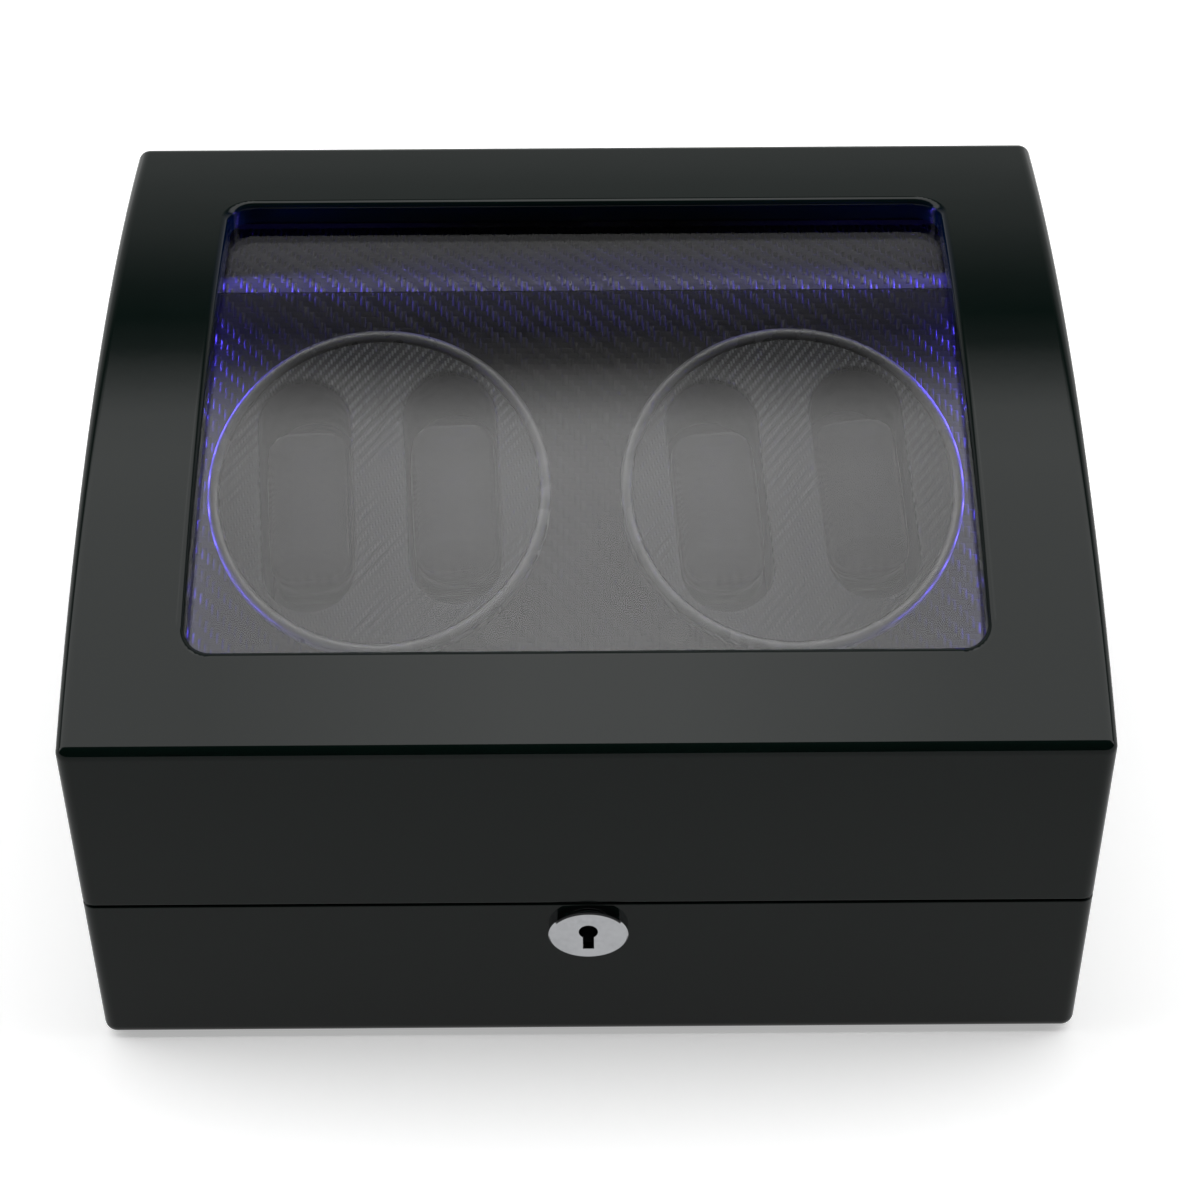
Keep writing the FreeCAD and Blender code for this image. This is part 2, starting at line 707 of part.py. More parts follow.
def screw_hole(name, frames, radius, length, head=None, head_height=None):
    """The hole for one screw, with a sink for its head if one is given."""
    shank = rod(name + "_hole", radius + d.running_clearance, length + overcut, (0, 0, -length),
                frames=frames)
    if head is None:
        return shank
    sink = rod(name + "_sink", head + d.running_clearance, head_height + overcut, frames=frames)
    return fuse(name + "_bored", [shank, sink])


def wood_screw(name, frames):
    return screw(name, frames, d.wood_screw_radius, d.wood_screw_head, d.head_height, d.wood_screw_length)


def wood_hole(name, frames):
    return screw_hole(name, frames, d.wood_screw_radius, d.wood_screw_length)


# Pane retainer: held up against the lid by eight screws

retainer_middle = d.pane_lap + d.retainer_lap / 2


def arc_frames(x, y):
    """A frame just under the retainer's lower face, +Z towards the arc's centre."""
    offset = as_dim(y) - d.lid_apex_back
    radius = ceiling_radius - d.retainer_thickness - d.running_clearance
    height = arc_height + root(radius * radius - offset * offset)
    lean = arc_sine(-offset / radius)
    return [frame(x, y, height, ((1, 0, 0), lean)), frame(turn=FACE_DOWN)]


side_x = window_width / 2 + retainer_middle
end_x = window_width / 4
retainer_spots = []
for sign in (-1, 1):
    retainer_spots.append((sign * side_x, window_front + window_length / 4))
    retainer_spots.append((sign * side_x, window_back - window_length / 4))
    retainer_spots.append((sign * end_x, window_front - retainer_middle))
    retainer_spots.append((sign * end_x, window_back + retainer_middle))
retainer_frames = [arc_frames(x, y) for x, y in retainer_spots]
retainer_grip = d.retainer_thickness + d.pane_inset / 2


def retainer_screw(name, frames):
    return screw(name, frames, d.wood_screw_radius, d.wood_screw_head, d.head_height, retainer_grip)


def retainer_bore(name, frames):
    return screw_hole(name, frames, d.wood_screw_radius, retainer_grip)


node("retainer_screws", group("retainer_screws", [retainer_screw("retainer_screw_%d" % index, spot)
                                                  for index, spot in enumerate(retainer_frames)]))
retainer_bores = [retainer_bore("retainer_bore_%d" % index, spot)
                  for index, spot in enumerate(retainer_frames)]
node("pane_retainer", cut("pane_retainer", retainer, retainer_bores))
node("lid_top_panel", cut("lid_top_panel", lid_top, retainer_bores))


# Hinges: leaves let into the two board edges, knuckles outside the rear face

pin_y = half_depth + d.barrel_radius + d.barrel_stand
pin_z = d.split_height + d.split_gap / 2
knuckle_length = d.hinge_length / d.knuckle_count
hinge_places = (-d.hinge_spacing / 2, d.hinge_spacing / 2)
barrel_clear = d.barrel_radius + d.knuckle_gap


def hinge_leaf(name, middle, low, high, first):
    """One leaf with every second knuckle, bored for the pin."""
    start = middle - d.hinge_length / 2
    plate = block(name + "_plate", (start, half_depth - d.leaf_width, low),
                  (start + d.hinge_length, pin_y, high))
    solid = [plate]
    gaps = []
    for index in range(round(d.knuckle_count.value)):
        at = (start + index * knuckle_length, pin_y, pin_z)
        if index % 2 == first:
            solid.append(rod("%s_knuckle_%d" % (name, index), d.barrel_radius, knuckle_length, at, ALONG_X))
        else:
            wide = (at[0] - d.knuckle_gap, pin_y, pin_z)
            length = knuckle_length + 2 * d.knuckle_gap
            gaps.append(rod("%s_gap_%d" % (name, index), barrel_clear, length, wide, ALONG_X))
    bore = rod(name + "_bore", d.hinge_pin_radius + d.running_clearance, d.hinge_length + 2 * overcut,
               (start - overcut, pin_y, pin_z), ALONG_X)
    return cut(name, fuse(name + "_blank", solid), gaps + [bore])


def leaf_spots(middle):
    """Screw places along one leaf."""
    step = d.hinge_length / 3
    y = half_depth - d.leaf_width / 2
    return [(middle + index * step, y) for index in (-1, 0, 1)]


def leaf_sink(name, frames):
    """The hole through a leaf for one screw head."""
    return rod(name, d.wood_screw_head + d.running_clearance, 2 * d.leaf_thickness,
               (0, 0, -d.leaf_thickness / 2), frames=frames)


base_leaf_low = d.split_height - d.leaf_thickness
lid_leaf_high = lid_bottom + d.leaf_thickness
base_leaves = []
lid_leaves = []
base_leaf_screws = []
lid_leaf_screws = []
base_rear_tools = []
lid_rear_tools = []
for side, middle in enumerate(hinge_places):
    start = middle - d.hinge_length / 2
    end = middle + d.hinge_length / 2
    spots = leaf_spots(middle)
    down = [[frame(x, y, base_leaf_low)] for x, y in spots]
    up = [[frame(x, y, lid_leaf_high), frame(turn=FACE_DOWN)] for x, y in spots]
    lower = hinge_leaf("base_leaf_%d" % side, middle, base_leaf_low, d.split_height, 0)
    upper = hinge_leaf("lid_leaf_%d" % side, middle, lid_bottom, lid_leaf_high, 1)
    mortise_y = half_depth - d.leaf_width
    base_rear_tools.append(block("base_mortise_%d" % side, (start, mortise_y, base_leaf_low),
                                 (end, half_depth + overcut, d.split_height + overcut)))
    lid_rear_tools.append(block("lid_mortise_%d" % side, (start, mortise_y, lid_bottom - overcut),
                                (end, half_depth + overcut, lid_leaf_high)))
    base_sinks = []
    lid_sinks = []
    for index in range(len(spots)):
        name = "%d_%d" % (side, index)
        base_sinks.append(leaf_sink("base_sink_" + name, down[index]))
        lid_sinks.append(leaf_sink("lid_sink_" + name, up[index]))
        base_leaf_screws.append(wood_screw("base_leaf_screw_" + name, down[index]))
        lid_leaf_screws.append(wood_screw("lid_leaf_screw_" + name, up[index]))
        base_rear_tools.append(wood_hole("base_leaf_hole_" + name, down[index]))
        lid_rear_tools.append(wood_hole("lid_leaf_hole_" + name, up[index]))
    base_leaves.append(cut("base_leaf_bored_%d" % side, lower, base_sinks))
    lid_leaves.append(cut("lid_leaf_bored_%d" % side, upper, lid_sinks))

node("hinge_base_leaves", group("hinge_base_leaves", base_leaves))
node("hinge_lid_leaves", group("hinge_lid_leaves", lid_leaves))
node("hinge_base_screws", group("hinge_base_screws", base_leaf_screws))
hinge_pins = [rod("hinge_pin_%d" % side, d.hinge_pin_radius, d.hinge_length,
                  (middle - d.hinge_length / 2, pin_y, pin_z), ALONG_X)
              for side, middle in enumerate(hinge_places)]
node("hinge_pins", group("hinge_pins", hinge_pins))
node("lid_rear_board", cut("lid_rear_board", lid_boards["rear"], lid_rear_tools))


# Power socket in the rear board: barrel, flange, bore with its pin, and a nut inside

jack_mouth = half_depth + d.jack_flange
jack_reach = d.jack_flange + d.wall + d.nut_thickness + d.jack_tail
jack_outside = rod("jack_flange_disc", d.jack_flange_radius, d.jack_flange,
                   (d.jack_place, half_depth, d.jack_height), ALONG_Y)
jack_barrel = rod("jack_barrel", d.jack_radius, jack_reach,
                  (d.jack_place, jack_mouth - jack_reach, d.jack_height), ALONG_Y)
jack_bore = rod("jack_bore_cut", d.jack_bore, d.jack_bore_depth + overcut,
                (d.jack_place, jack_mouth - d.jack_bore_depth, d.jack_height), ALONG_Y)
jack_pin = rod("jack_pin_rod", d.jack_pin, d.jack_bore_depth,
               (d.jack_place, jack_mouth - d.jack_bore_depth - overcut, d.jack_height), ALONG_Y)
jack_shell = cut("jack_shell", fuse("jack_blank", [jack_outside, jack_barrel]), [jack_bore])
jack_body = fuse("jack_body", [jack_shell, jack_pin])


def hexagon(name, radius, length, at):
    """A hexagonal bar along +Y."""
    bar = doc.addObject("Part::Prism", name)
    bar.Polygon = 6
    bind(bar, "Circumradius", radius)
    bind(bar, "Height", length)
    return place(bar, frame(*at, ALONG_Y))


jack_nut_bar = hexagon("jack_nut_bar", d.nut_radius, d.nut_thickness,
                       (d.jack_place, inner_depth - d.nut_thickness, d.jack_height))
jack_nut_bore = rod("jack_nut_bore", d.jack_radius + d.running_clearance, d.nut_thickness + 2 * overcut,
                    (d.jack_place, inner_depth - d.nut_thickness - overcut, d.jack_height), ALONG_Y)
node("power_socket", group("power_socket", [jack_body, cut("jack_nut", jack_nut_bar, [jack_nut_bore])]))
jack_hole = rod("jack_hole", d.jack_radius + d.running_clearance, d.wall + 2 * overcut,
                (d.jack_place, inner_depth - overcut, d.jack_height), ALONG_Y)
node("base_rear_board", cut("base_rear_board", base_boards["rear"], base_rear_tools + [jack_hole]))


# Lock: case let into the front board, sliding bolt, strike with its staple, keyhole plate

lock_front = d.lock_set_back - half_depth
lock_back = lock_front + d.lock_thickness
lock_low = d.split_height - d.lock_case_height
lock_height = d.split_height - d.lock_drop
lock_half = d.lock_width / 2
bolt_y = lock_front + d.lock_thickness / 2
staple_low = lock_height + d.key_radius
eye_low = staple_low + d.staple_clearance
bolt_low = eye_low + d.staple_clearance
bolt_high = bolt_low + d.bolt_height
eye_high = bolt_high + d.staple_clearance
nose_y = d.bolt_nose / 2
eye_y = nose_y + d.staple_clearance
staple_y = d.staple_width / 2
slot_y = staple_y + d.staple_clearance
staple_x = d.staple_thickness / 2
slot_x = staple_x + 2 * d.staple_clearance
nose_tip = -staple_x - d.staple_clearance - overcut
nose_root = nose_tip - d.lock_travel
cavity_x = lock_half - d.lock_wall
bolt_tail = d.staple_clearance - cavity_x
cavity_y = d.lock_thickness / 2 - d.lock_wall
plate_middle = lock_height - d.escutcheon_drop


def keyhole(body, name, depth):
    """Cut the keyhole right through a body drawn on its XZ plane."""
    spread = d.key_slot_width / 2
    sketch = new_sketch(body, name, "XZ_Plane")
    outline(sketch, [(-spread, lock_height - d.key_slot_drop), (spread, lock_height - d.key_slot_drop),
                     (spread, lock_height), (-spread, lock_height)])
    pocket(body, sketch, depth)
    dot = new_sketch(body, name + "_round", "XZ_Plane")
    ring(dot, 0, lock_height, d.key_radius)
    pocket(body, dot, depth)


lock_outer = block("lock_outer", (-lock_half, lock_front, lock_low), (lock_half, lock_back, d.split_height))
lock_inner = block("lock_inner", (-cavity_x, bolt_y - cavity_y, lock_low + d.lock_wall),
                   (cavity_x, bolt_y + cavity_y, d.split_height - d.lock_wall))
lock_slot = block("lock_slot", (-slot_x, bolt_y - slot_y, d.split_height - 2 * d.lock_wall),
                  (slot_x, bolt_y + slot_y, d.split_height + overcut))
lock_key_hole = rod("lock_key_hole", d.key_radius, d.lock_wall + 2 * overcut,
                    (0, lock_front - overcut, lock_height), ALONG_Y)
lock_screw_x = lock_half + 2 * d.wood_screw_head
lock_ear_x = lock_screw_x + d.wood_screw_head
lock_ear_back = d.lock_wall - inner_depth
lock_ear = block("lock_ear", (-lock_ear_x, -inner_depth, lock_low + 2 * d.lock_wall),
                 (lock_ear_x, lock_ear_back, d.split_height - 2 * d.lock_wall))
lock_screw_z = lock_low + d.lock_case_height / 2
lock_frames = [[frame(sign * lock_screw_x, lock_ear_back, lock_screw_z, ALONG_Y)] for sign in (-1, 1)]
lock_bores = [wood_hole("lock_bore_%d" % index, spot) for index, spot in enumerate(lock_frames)]
lock_blank = fuse("lock_blank", [lock_outer, lock_ear])
node("lock_case", cut("lock_case", lock_blank, [lock_inner, lock_slot, lock_key_hole] + lock_bores))
node("lock_screws", group("lock_screws", [wood_screw("lock_screw_%d" % index, spot)
                                          for index, spot in enumerate(lock_frames)]))

bolt_tail_block = block("bolt_tail_block", (bolt_tail, bolt_y - slot_y, bolt_low - d.staple_clearance),
                        (nose_root, bolt_y + slot_y, bolt_high + d.staple_clearance))
bolt_nose_block = block("bolt_nose_block", (bolt_tail, bolt_y - nose_y, bolt_low),
                        (nose_tip, bolt_y + nose_y, bolt_high))
node("lock_bolt", fuse("lock_bolt", [bolt_tail_block, bolt_nose_block]))

strike_half = d.strike_width / 2
strike_y = d.strike_depth / 2
strike_plate = block("strike_plate_bar", (-strike_half, bolt_y - strike_y, lid_bottom),
                     (strike_half, bolt_y + strike_y, lid_bottom + d.strike_thickness))
strike_staple = block("strike_staple", (-staple_x, bolt_y - staple_y, staple_low),
                      (staple_x, bolt_y + staple_y, lid_bottom + d.strike_thickness))
strike_eye = block("strike_eye", (-staple_x - overcut, bolt_y - eye_y, eye_low),
                   (staple_x + overcut, bolt_y + eye_y, eye_high))
strike_screw_x = strike_half - 2 * d.wood_screw_head
strike_screw_y = (bolt_y - strike_y - inner_depth) / 2
strike_head_z = lid_bottom + d.head_height
strike_frames = [[frame(sign * strike_screw_x, strike_screw_y, strike_head_z), frame(turn=FACE_DOWN)]
                 for sign in (-1, 1)]
strike_bores = [screw_hole("strike_bore_%d" % index, spot, d.wood_screw_radius, d.wood_screw_length,
                           d.wood_screw_head, d.head_height) for index, spot in enumerate(strike_frames)]
strike_blank = fuse("strike_blank", [strike_plate, strike_staple])
node("strike_plate", cut("strike_plate", strike_blank, [strike_eye] + strike_bores))
strike_screws = [wood_screw("strike_screw_%d" % index, spot) for index, spot in enumerate(strike_frames)]
node("lid_screws", group("lid_screws", lid_leaf_screws + strike_screws))
strike_seat = block("strike_seat", (-strike_half, bolt_y - strike_y, lid_bottom - overcut),
                    (strike_half, bolt_y + strike_y, lid_bottom + d.strike_thickness))
node("lid_front_board", cut("lid_front_board", lid_boards["front"], [strike_seat] + strike_bores))

lock_mortise = block("lock_mortise", (-lock_half, lock_front, lock_low),
                     (lock_half, overcut - inner_depth, d.split_height + overcut))
front_key_hole = rod("front_key_hole", d.key_slot_drop, d.wall,
                     (0, -half_depth - overcut, plate_middle), ALONG_Y)
front_tools = [lock_mortise, front_key_hole] + lock_bores
node("base_front_board", cut("base_front_board", base_boards["front"], front_tools))


def escutcheon():
    """The oval keyhole plate: bevelled, on the front face."""
    body = new_body("escutcheon")
    sketch = new_sketch(body, "escutcheon_oval", "XZ_Plane")
    half_long = d.escutcheon_width / 2
    half_short = d.escutcheon_height / 2
    middle = FreeCAD.Vector(0, plate_middle.value, 0)
    tip = middle + FreeCAD.Vector(half_long.value, 0, 0)
    top = middle + FreeCAD.Vector(0, half_short.value, 0)
    sketch.addGeometry(Part.Ellipse(tip, top, middle), False)
    sketch.exposeInternalGeometry(0)
    datum(sketch, "DistanceX", (-1, 1, 0, 3), 0)
    datum(sketch, "DistanceY", (-1, 1, 0, 3), plate_middle)
    sketch.addConstraint(Sketcher.Constraint("Horizontal", 1))
    datum(sketch, "Distance", (1,), 2 * half_long)
    datum(sketch, "Distance", (2,), 2 * half_short)
    pad(body, sketch, d.escutcheon_thickness)
    front = -d.escutcheon_thickness.value
    round_edges(body, "escutcheon_bevel", d.escutcheon_bevel, lambda edge: near(box_of(edge).YMax, front),
                "PartDesign::Chamfer")
    keyhole(body, "escutcheon_keyhole", 2 * (d.escutcheon_thickness + overcut))
    return place(body, frame(0, -half_depth, 0))


node("escutcheon", escutcheon())


# Console: front rail, cheeks, back panel and the sloping deck

rail_top = d.split_height - d.rail_drop
rail_back = d.rail_depth - inner_depth
back_panel_end = inner_depth - d.back_gap
back_panel_front = back_panel_end - d.back_panel_thickness
console_radius = ceiling_radius - d.retainer_thickness - d.ceiling_clearance
console_top = arc_height + console_radius
cheek_outer = inner_width - d.cheek_clearance
cheek_inner = cheek_outer - d.cheek_thickness

# The deck's lower front corner sits on the rail, and its slope meets the ledge at the console's top
fold_y = back_panel_end - d.ledge_front
deck_depth = fold_y - rail_back + d.deck_seat
deck_climb = console_top - rail_top
deck_diagonal = root(deck_depth * deck_depth + deck_climb * deck_climb)
slope = arc_sine(deck_climb / deck_diagonal) - arc_sine(d.deck_thickness / deck_diagonal)
rise = sine(slope)
run = cosine(slope)
deck_back = fold_y - d.turntable_set * run
deck_height = console_top - d.turntable_set * rise
deck_frame = frame(0, deck_back, deck_height, ((1, 0, 0), slope))
deck_length = root(deck_diagonal * deck_diagonal - d.deck_thickness * d.deck_thickness)
deck_front = d.turntable_set - deck_length

# The two turntables share the width between the cheeks
rim_radius = (2 * cheek_inner - 2 * d.rim_side_gap - d.rim_middle_gap) / 4
turntable_x = rim_radius + d.rim_middle_gap / 2
drum_radius = rim_radius - d.rim_width + d.drum_wall
knob_distance = rim_radius + d.knob_radius + d.knob_rim_gap
knob_spread = turntable_x - root(knob_distance * knob_distance - d.knob_drop * d.knob_drop)


def slope_height(y, lift):
    """Height of a plane parallel to the deck, a lift above it, at a place front to back."""
    return deck_height + ((as_dim(y) - deck_back) * rise + lift) / run


rail_blank = block("rail_blank", (-inner_width, -inner_depth, rail_top - d.rail_thickness),
                   (inner_width, rail_back, rail_top))
rail_notch = block("rail_notch", (-lock_screw_x - 2 * d.wood_screw_head, -inner_depth - overcut,
                                  rail_top - d.rail_thickness - overcut),
                   (lock_screw_x + 2 * d.wood_screw_head, lock_back + overcut, rail_top + overcut))
node("front_rail", cut("front_rail", rail_blank, [rail_notch]))

console_ceiling = arc_rod("console_ceiling", console_radius)


def cheek(name, inner):
    """One side cheek: a board under a line parallel to the deck, its top cut to the lid's arc."""
    body = new_body(name + "_board")
    sketch = new_sketch(body, name + "_side", "YZ_Plane")
    outline(sketch, [(rail_back, floor_top), (back_panel_end, floor_top),
                     (back_panel_end, slope_height(back_panel_end, d.cheek_rise)),
                     (rail_back, slope_height(rail_back, d.cheek_rise))])
    pad(body, sketch, d.cheek_thickness)
    place(body, frame(inner))
    return common(name, body, console_ceiling)


node("left_cheek", cheek("left_cheek", -cheek_outer))
node("right_cheek", cheek("right_cheek", cheek_inner))


def back_ledge():
    """The level ledge behind the deck, with the rounded fold where it turns down into the slope."""
    body = new_body("back_ledge")
    sketch = new_sketch(body, "back_ledge_side", "YZ_Plane")
    low = console_top - d.ledge_drop
    back = fold_y + d.ledge_depth
    lap_y = fold_y - d.ledge_lap * run
    lap_z = console_top - d.ledge_lap * rise
    foot_y = lap_y + d.deck_thickness * rise
    outline(sketch, [(lap_y, lap_z), (fold_y, console_top), (back, console_top), (back, low),
                     (foot_y, low), (foot_y, lap_z - d.deck_thickness * run)])
    pad(body, sketch, 2 * cheek_inner)

    def on_fold(edge):
        box = box_of(edge)
        along = near(box.YMin, fold_y.value) and near(box.YMax, fold_y.value)
        return along and near(box.ZMin, console_top.value)

    round_edges(body, "back_ledge_fold", d.ledge_round, on_fold)
    return place(body, frame(-cheek_inner))


back_board = block("back_board", (-cheek_inner, back_panel_front, floor_top),
                   (cheek_inner, back_panel_end, console_top - d.ledge_drop))
node("back_panel", fuse("back_panel", [back_board, back_ledge()]))


def deck_panel():
    """The sloping deck with its two turntable holes and two knob holes."""
    body = new_body("deck_panel")
    sketch = new_sketch(body, "deck_plan", "XY_Plane")
    outline(sketch, oblong(cheek_inner, deck_front, d.turntable_set - d.ledge_lap - d.ledge_gap))
    pad(body, sketch, d.deck_thickness, "One side", True)
    holes = new_sketch(body, "deck_holes", "XY_Plane")
    for sign in (-1, 1):
        ring(holes, sign * turntable_x, 0, drum_radius + d.drum_clearance)
        ring(holes, sign * knob_spread, -d.knob_drop, d.knob_stem_radius + d.knob_stem_clearance)
    pocket(body, holes, 4 * d.deck_thickness)
    return place(body, deck_frame)


node("deck_panel", deck_panel())


# Lamp strips along the cheeks, just above the deck

led_first = d.turntable_set - d.led_margin
strip_top = led_first + d.strip_margin
strip_end = led_first - (d.led_count - 1) * d.led_pitch - d.strip_margin
strip_low = d.led_level - d.strip_width / 2
strips = []
lamps = []
for side, sign in (("left", -1), ("right", 1)):
    wall_x = sign * cheek_inner
    strip_x = wall_x - sign * d.strip_thickness
    lamp_x = strip_x - sign * d.led_thickness
    near_x, far_x = (wall_x, strip_x) if sign < 0 else (strip_x, wall_x)
    strips.append(block(side + "_strip", (near_x, strip_end, strip_low),
                        (far_x, strip_top, strip_low + d.strip_width), deck_frame))
    near_x, far_x = (strip_x, lamp_x) if sign < 0 else (lamp_x, strip_x)
    for index in range(round(d.led_count.value)):
        along = led_first - index * d.led_pitch
        lamps.append(block("%s_lamp_%d" % (side, index),
                           (near_x, along - d.led_length / 2, d.led_level - d.led_width / 2),
                           (far_x, along + d.led_length / 2, d.led_level + d.led_width / 2), deck_frame))
node("lamp_strips", group("lamp_strips", strips))
node("lamp_chips", group("lamp_chips", lamps))


# Drive levels, measured along the turntable axis from the deck's upper face

drum_bottom = -d.drum_depth
drum_inside = drum_bottom + d.drum_floor
hub_foot = drum_bottom - d.hub_length
gear_top = hub_foot - d.gear_hub_gap
gear_foot = gear_top - d.gear_thickness
gear_hub_foot = gear_foot - d.gear_hub_length
bush_top = gear_hub_foot - d.gear_hub_gap
chassis_top = bush_top - d.bush_flange
chassis_foot = chassis_top - d.chassis_thickness
bush_foot = chassis_top - d.bush_length
collar_top = bush_foot - d.gear_hub_gap
spindle_foot = collar_top - d.collar_height
spindle_top = drum_inside - overcut
face_top = d.rim_height - d.face_recess
face_foot = face_top - d.face_thickness
pocket_floor = drum_inside + d.pocket_wall
pitch_distance = d.gear_module * (d.gear_teeth + d.pinion_teeth) / 2
motor_x = turntable_x - pitch_distance
sides = (("left", -1, d.left_turn), ("right", 1, d.right_turn))


# Pockets: two side by side, as long as the round face allows

face_radius = rim_radius - d.rim_width - d.face_clearance
pocket_radius = d.pocket_width / 2
pocket_offset = d.pocket_land / 2 + pocket_radius
pocket_limit = face_radius - d.pocket_margin - pocket_radius
pocket_reach = root(pocket_limit * pocket_limit - pocket_offset * pocket_offset)
pillow_reach = pocket_reach + pocket_radius - d.strap_room


def on_deck(x, y=0, z=0):
    """Frames of a piece that stands square on the deck."""
    return [deck_frame, frame(x, y, z)]


# Turntables: drum with its rim, face with two pockets, spindle

def turntable_drum(name, x):
    """The drum turned as one profile: hub, bottom, wall and the rim bead."""
    body = new_body(name)
    sketch = new_sketch(body, name + "_profile", "XZ_Plane")
    wall_inner = rim_radius - d.rim_width
    bead_foot = d.rim_height - d.rim_depth
    bore = d.spindle_radius + d.spindle_grip
    outline(sketch, [(bore, hub_foot), (d.hub_radius, hub_foot), (d.hub_radius, drum_bottom),
                     (drum_radius, drum_bottom), (drum_radius, bead_foot), (rim_radius, bead_foot),
                     (rim_radius, d.rim_height), (wall_inner, d.rim_height), (wall_inner, drum_inside),
                     (bore, drum_inside)])
    revolve(body, sketch)
    top = d.rim_height.value
    round_edges(body, name + "_bead", d.rim_round, lambda edge: near(box_of(edge).ZMin, top))
    return place(body, *on_deck(x))


def turntable_face(name, x, turn):
    """The face plate with its two pocket mouths, at its rest angle."""
    body = new_body(name)
    disc = new_sketch(body, name + "_disc", "XY_Plane")
    ring(disc, 0, 0, face_radius)
    pad(body, disc, d.face_thickness, "One side", True)
    mouths = new_sketch(body, name + "_mouths", "XY_Plane")
    for sign in (-1, 1):
        stadium(mouths, sign * pocket_offset, pocket_reach, pocket_radius)
    pocket(body, mouths, 2 * d.face_thickness)
    edge_limit = face_radius.value - d.face_clearance.value

    def on_lip(edge):
        box = box_of(edge)
        return near(box.ZMin, 0) and near(box.ZMax, 0) and box.XMax < edge_limit

    round_edges(body, name + "_lip", d.pocket_lip, on_lip)
    return place(body, *on_deck(x, 0, face_top), frame(turn=((0, 0, 1), turn)))


def pocket_cup(name, x, turn, offset):
    """One deep pocket under the face: a cup that stands on the drum's bottom."""
    body = new_body(name)
    blank = new_sketch(body, name + "_blank", "XY_Plane")
    stadium(blank, offset, pocket_reach, pocket_radius + d.pocket_wall)
    pad(body, blank, face_foot - drum_inside, "One side", True)
    hollow = new_sketch(body, name + "_hollow", "XY_Plane")
    stadium(hollow, offset, pocket_reach, pocket_radius)
    pocket(body, hollow, face_foot - pocket_floor, "One side", False)
    return place(body, *on_deck(x, 0, face_foot), frame(turn=((0, 0, 1), turn)))


def spindle(name, x):
    """The steel spindle with the collar that keeps it in its bush."""
    body = new_body(name)
    sketch = new_sketch(body, name + "_profile", "XZ_Plane")
    outline(sketch, [(0, spindle_foot), (d.collar_radius, spindle_foot), (d.collar_radius, collar_top),
                     (d.spindle_radius, collar_top), (d.spindle_radius, spindle_top), (0, spindle_top)])
    revolve(body, sketch)
    return place(body, *on_deck(x))


def tooth_angle(teeth, radius):
    """Half the angle of a tooth at a radius: an involute, thinned for backlash."""
    pitch = d.gear_module.value * teeth / 2
    standard = math.radians(d.pressure_angle.value)
    base = pitch * math.cos(standard)
    pressure = math.acos(min(1.0, base / max(radius, base)))
    half = (math.pi * d.gear_module.value / 2 - d.gear_backlash.value) / (2 * pitch)
    return half + (math.tan(standard) - standard) - (math.tan(pressure) - pressure)


def gear_solid(teeth, thickness, phase):
    """A spur gear: arcs along roots, flanks and tips, the middle of tooth 0 at the phase angle."""
    module = d.gear_module.value
    pitch = module * teeth / 2
    tip = pitch + module
    foot = pitch - d.tooth_root.value * module
    flank = [foot, max(pitch - module / 2, foot + module / 4), tip]
    edges = []

    def spot(radius, angle):
        return FreeCAD.Vector(radius * math.cos(angle), radius * math.sin(angle), 0)

    step = 2 * math.pi / teeth
    for index in range(teeth):
        middle = phase + index * step
        rising = [spot(radius, middle - tooth_angle(teeth, radius)) for radius in flank]
        falling = [spot(radius, middle + tooth_angle(teeth, radius)) for radius in reversed(flank)]
        after = spot(foot, middle + step - tooth_angle(teeth, foot))
        edges.append(Part.Arc(*rising).toShape())
        edges.append(Part.Arc(rising[-1], spot(tip, middle), falling[0]).toShape())
        edges.append(Part.Arc(*falling).toShape())
        edges.append(Part.Arc(falling[-1], spot(foot, middle + step / 2), after).toShape())
    return Part.Face(Part.Wire(edges)).extrude(FreeCAD.Vector(0, 0, thickness))


def toothed(name, teeth, thickness, phase, frames):
    """A gear blank as an object: its teeth follow a formula, so its shape is set here."""
    thing = doc.addObject("Part::Feature", name)
    thing.Shape = gear_solid(round(teeth.value), thickness.value, phase)
    return place(thing, *frames)


def drive_gear(name, x):
    """The gear on the spindle, with the hub that runs on the bush."""
    teeth = toothed(name + "_teeth", d.gear_teeth, d.gear_thickness, 0.0, [frame(0, 0, gear_foot)])
    hub = rod(name + "_hub", d.hub_radius, gear_top - gear_hub_foot, (0, 0, gear_hub_foot))
    bore = rod(name + "_bore", d.spindle_radius + d.spindle_grip, gear_top - gear_hub_foot + 2 * overcut,
               (0, 0, gear_hub_foot - overcut))
    return place(cut(name, fuse(name + "_blank", [teeth, hub]), [bore]), *on_deck(x))


def motor_pinion(name, x):
    """The pinion on its motor shaft: a gap between teeth faces the turntable gear."""
    width = d.gear_thickness + 2 * d.pinion_extra
    foot = gear_foot - d.pinion_extra
    phase = math.pi / d.pinion_teeth.value
    teeth = toothed(name + "_teeth", d.pinion_teeth, width, phase, [frame(0, 0, foot)])
    shaft_foot = chassis_foot - d.motor_shaft_depth
    shaft = rod(name + "_shaft", d.motor_shaft_radius, foot + width + overcut - shaft_foot,
                (0, 0, shaft_foot))
    return place(fuse(name, [teeth, shaft]), *on_deck(x))


# Pillows: crowned cushions with drawn-in sides

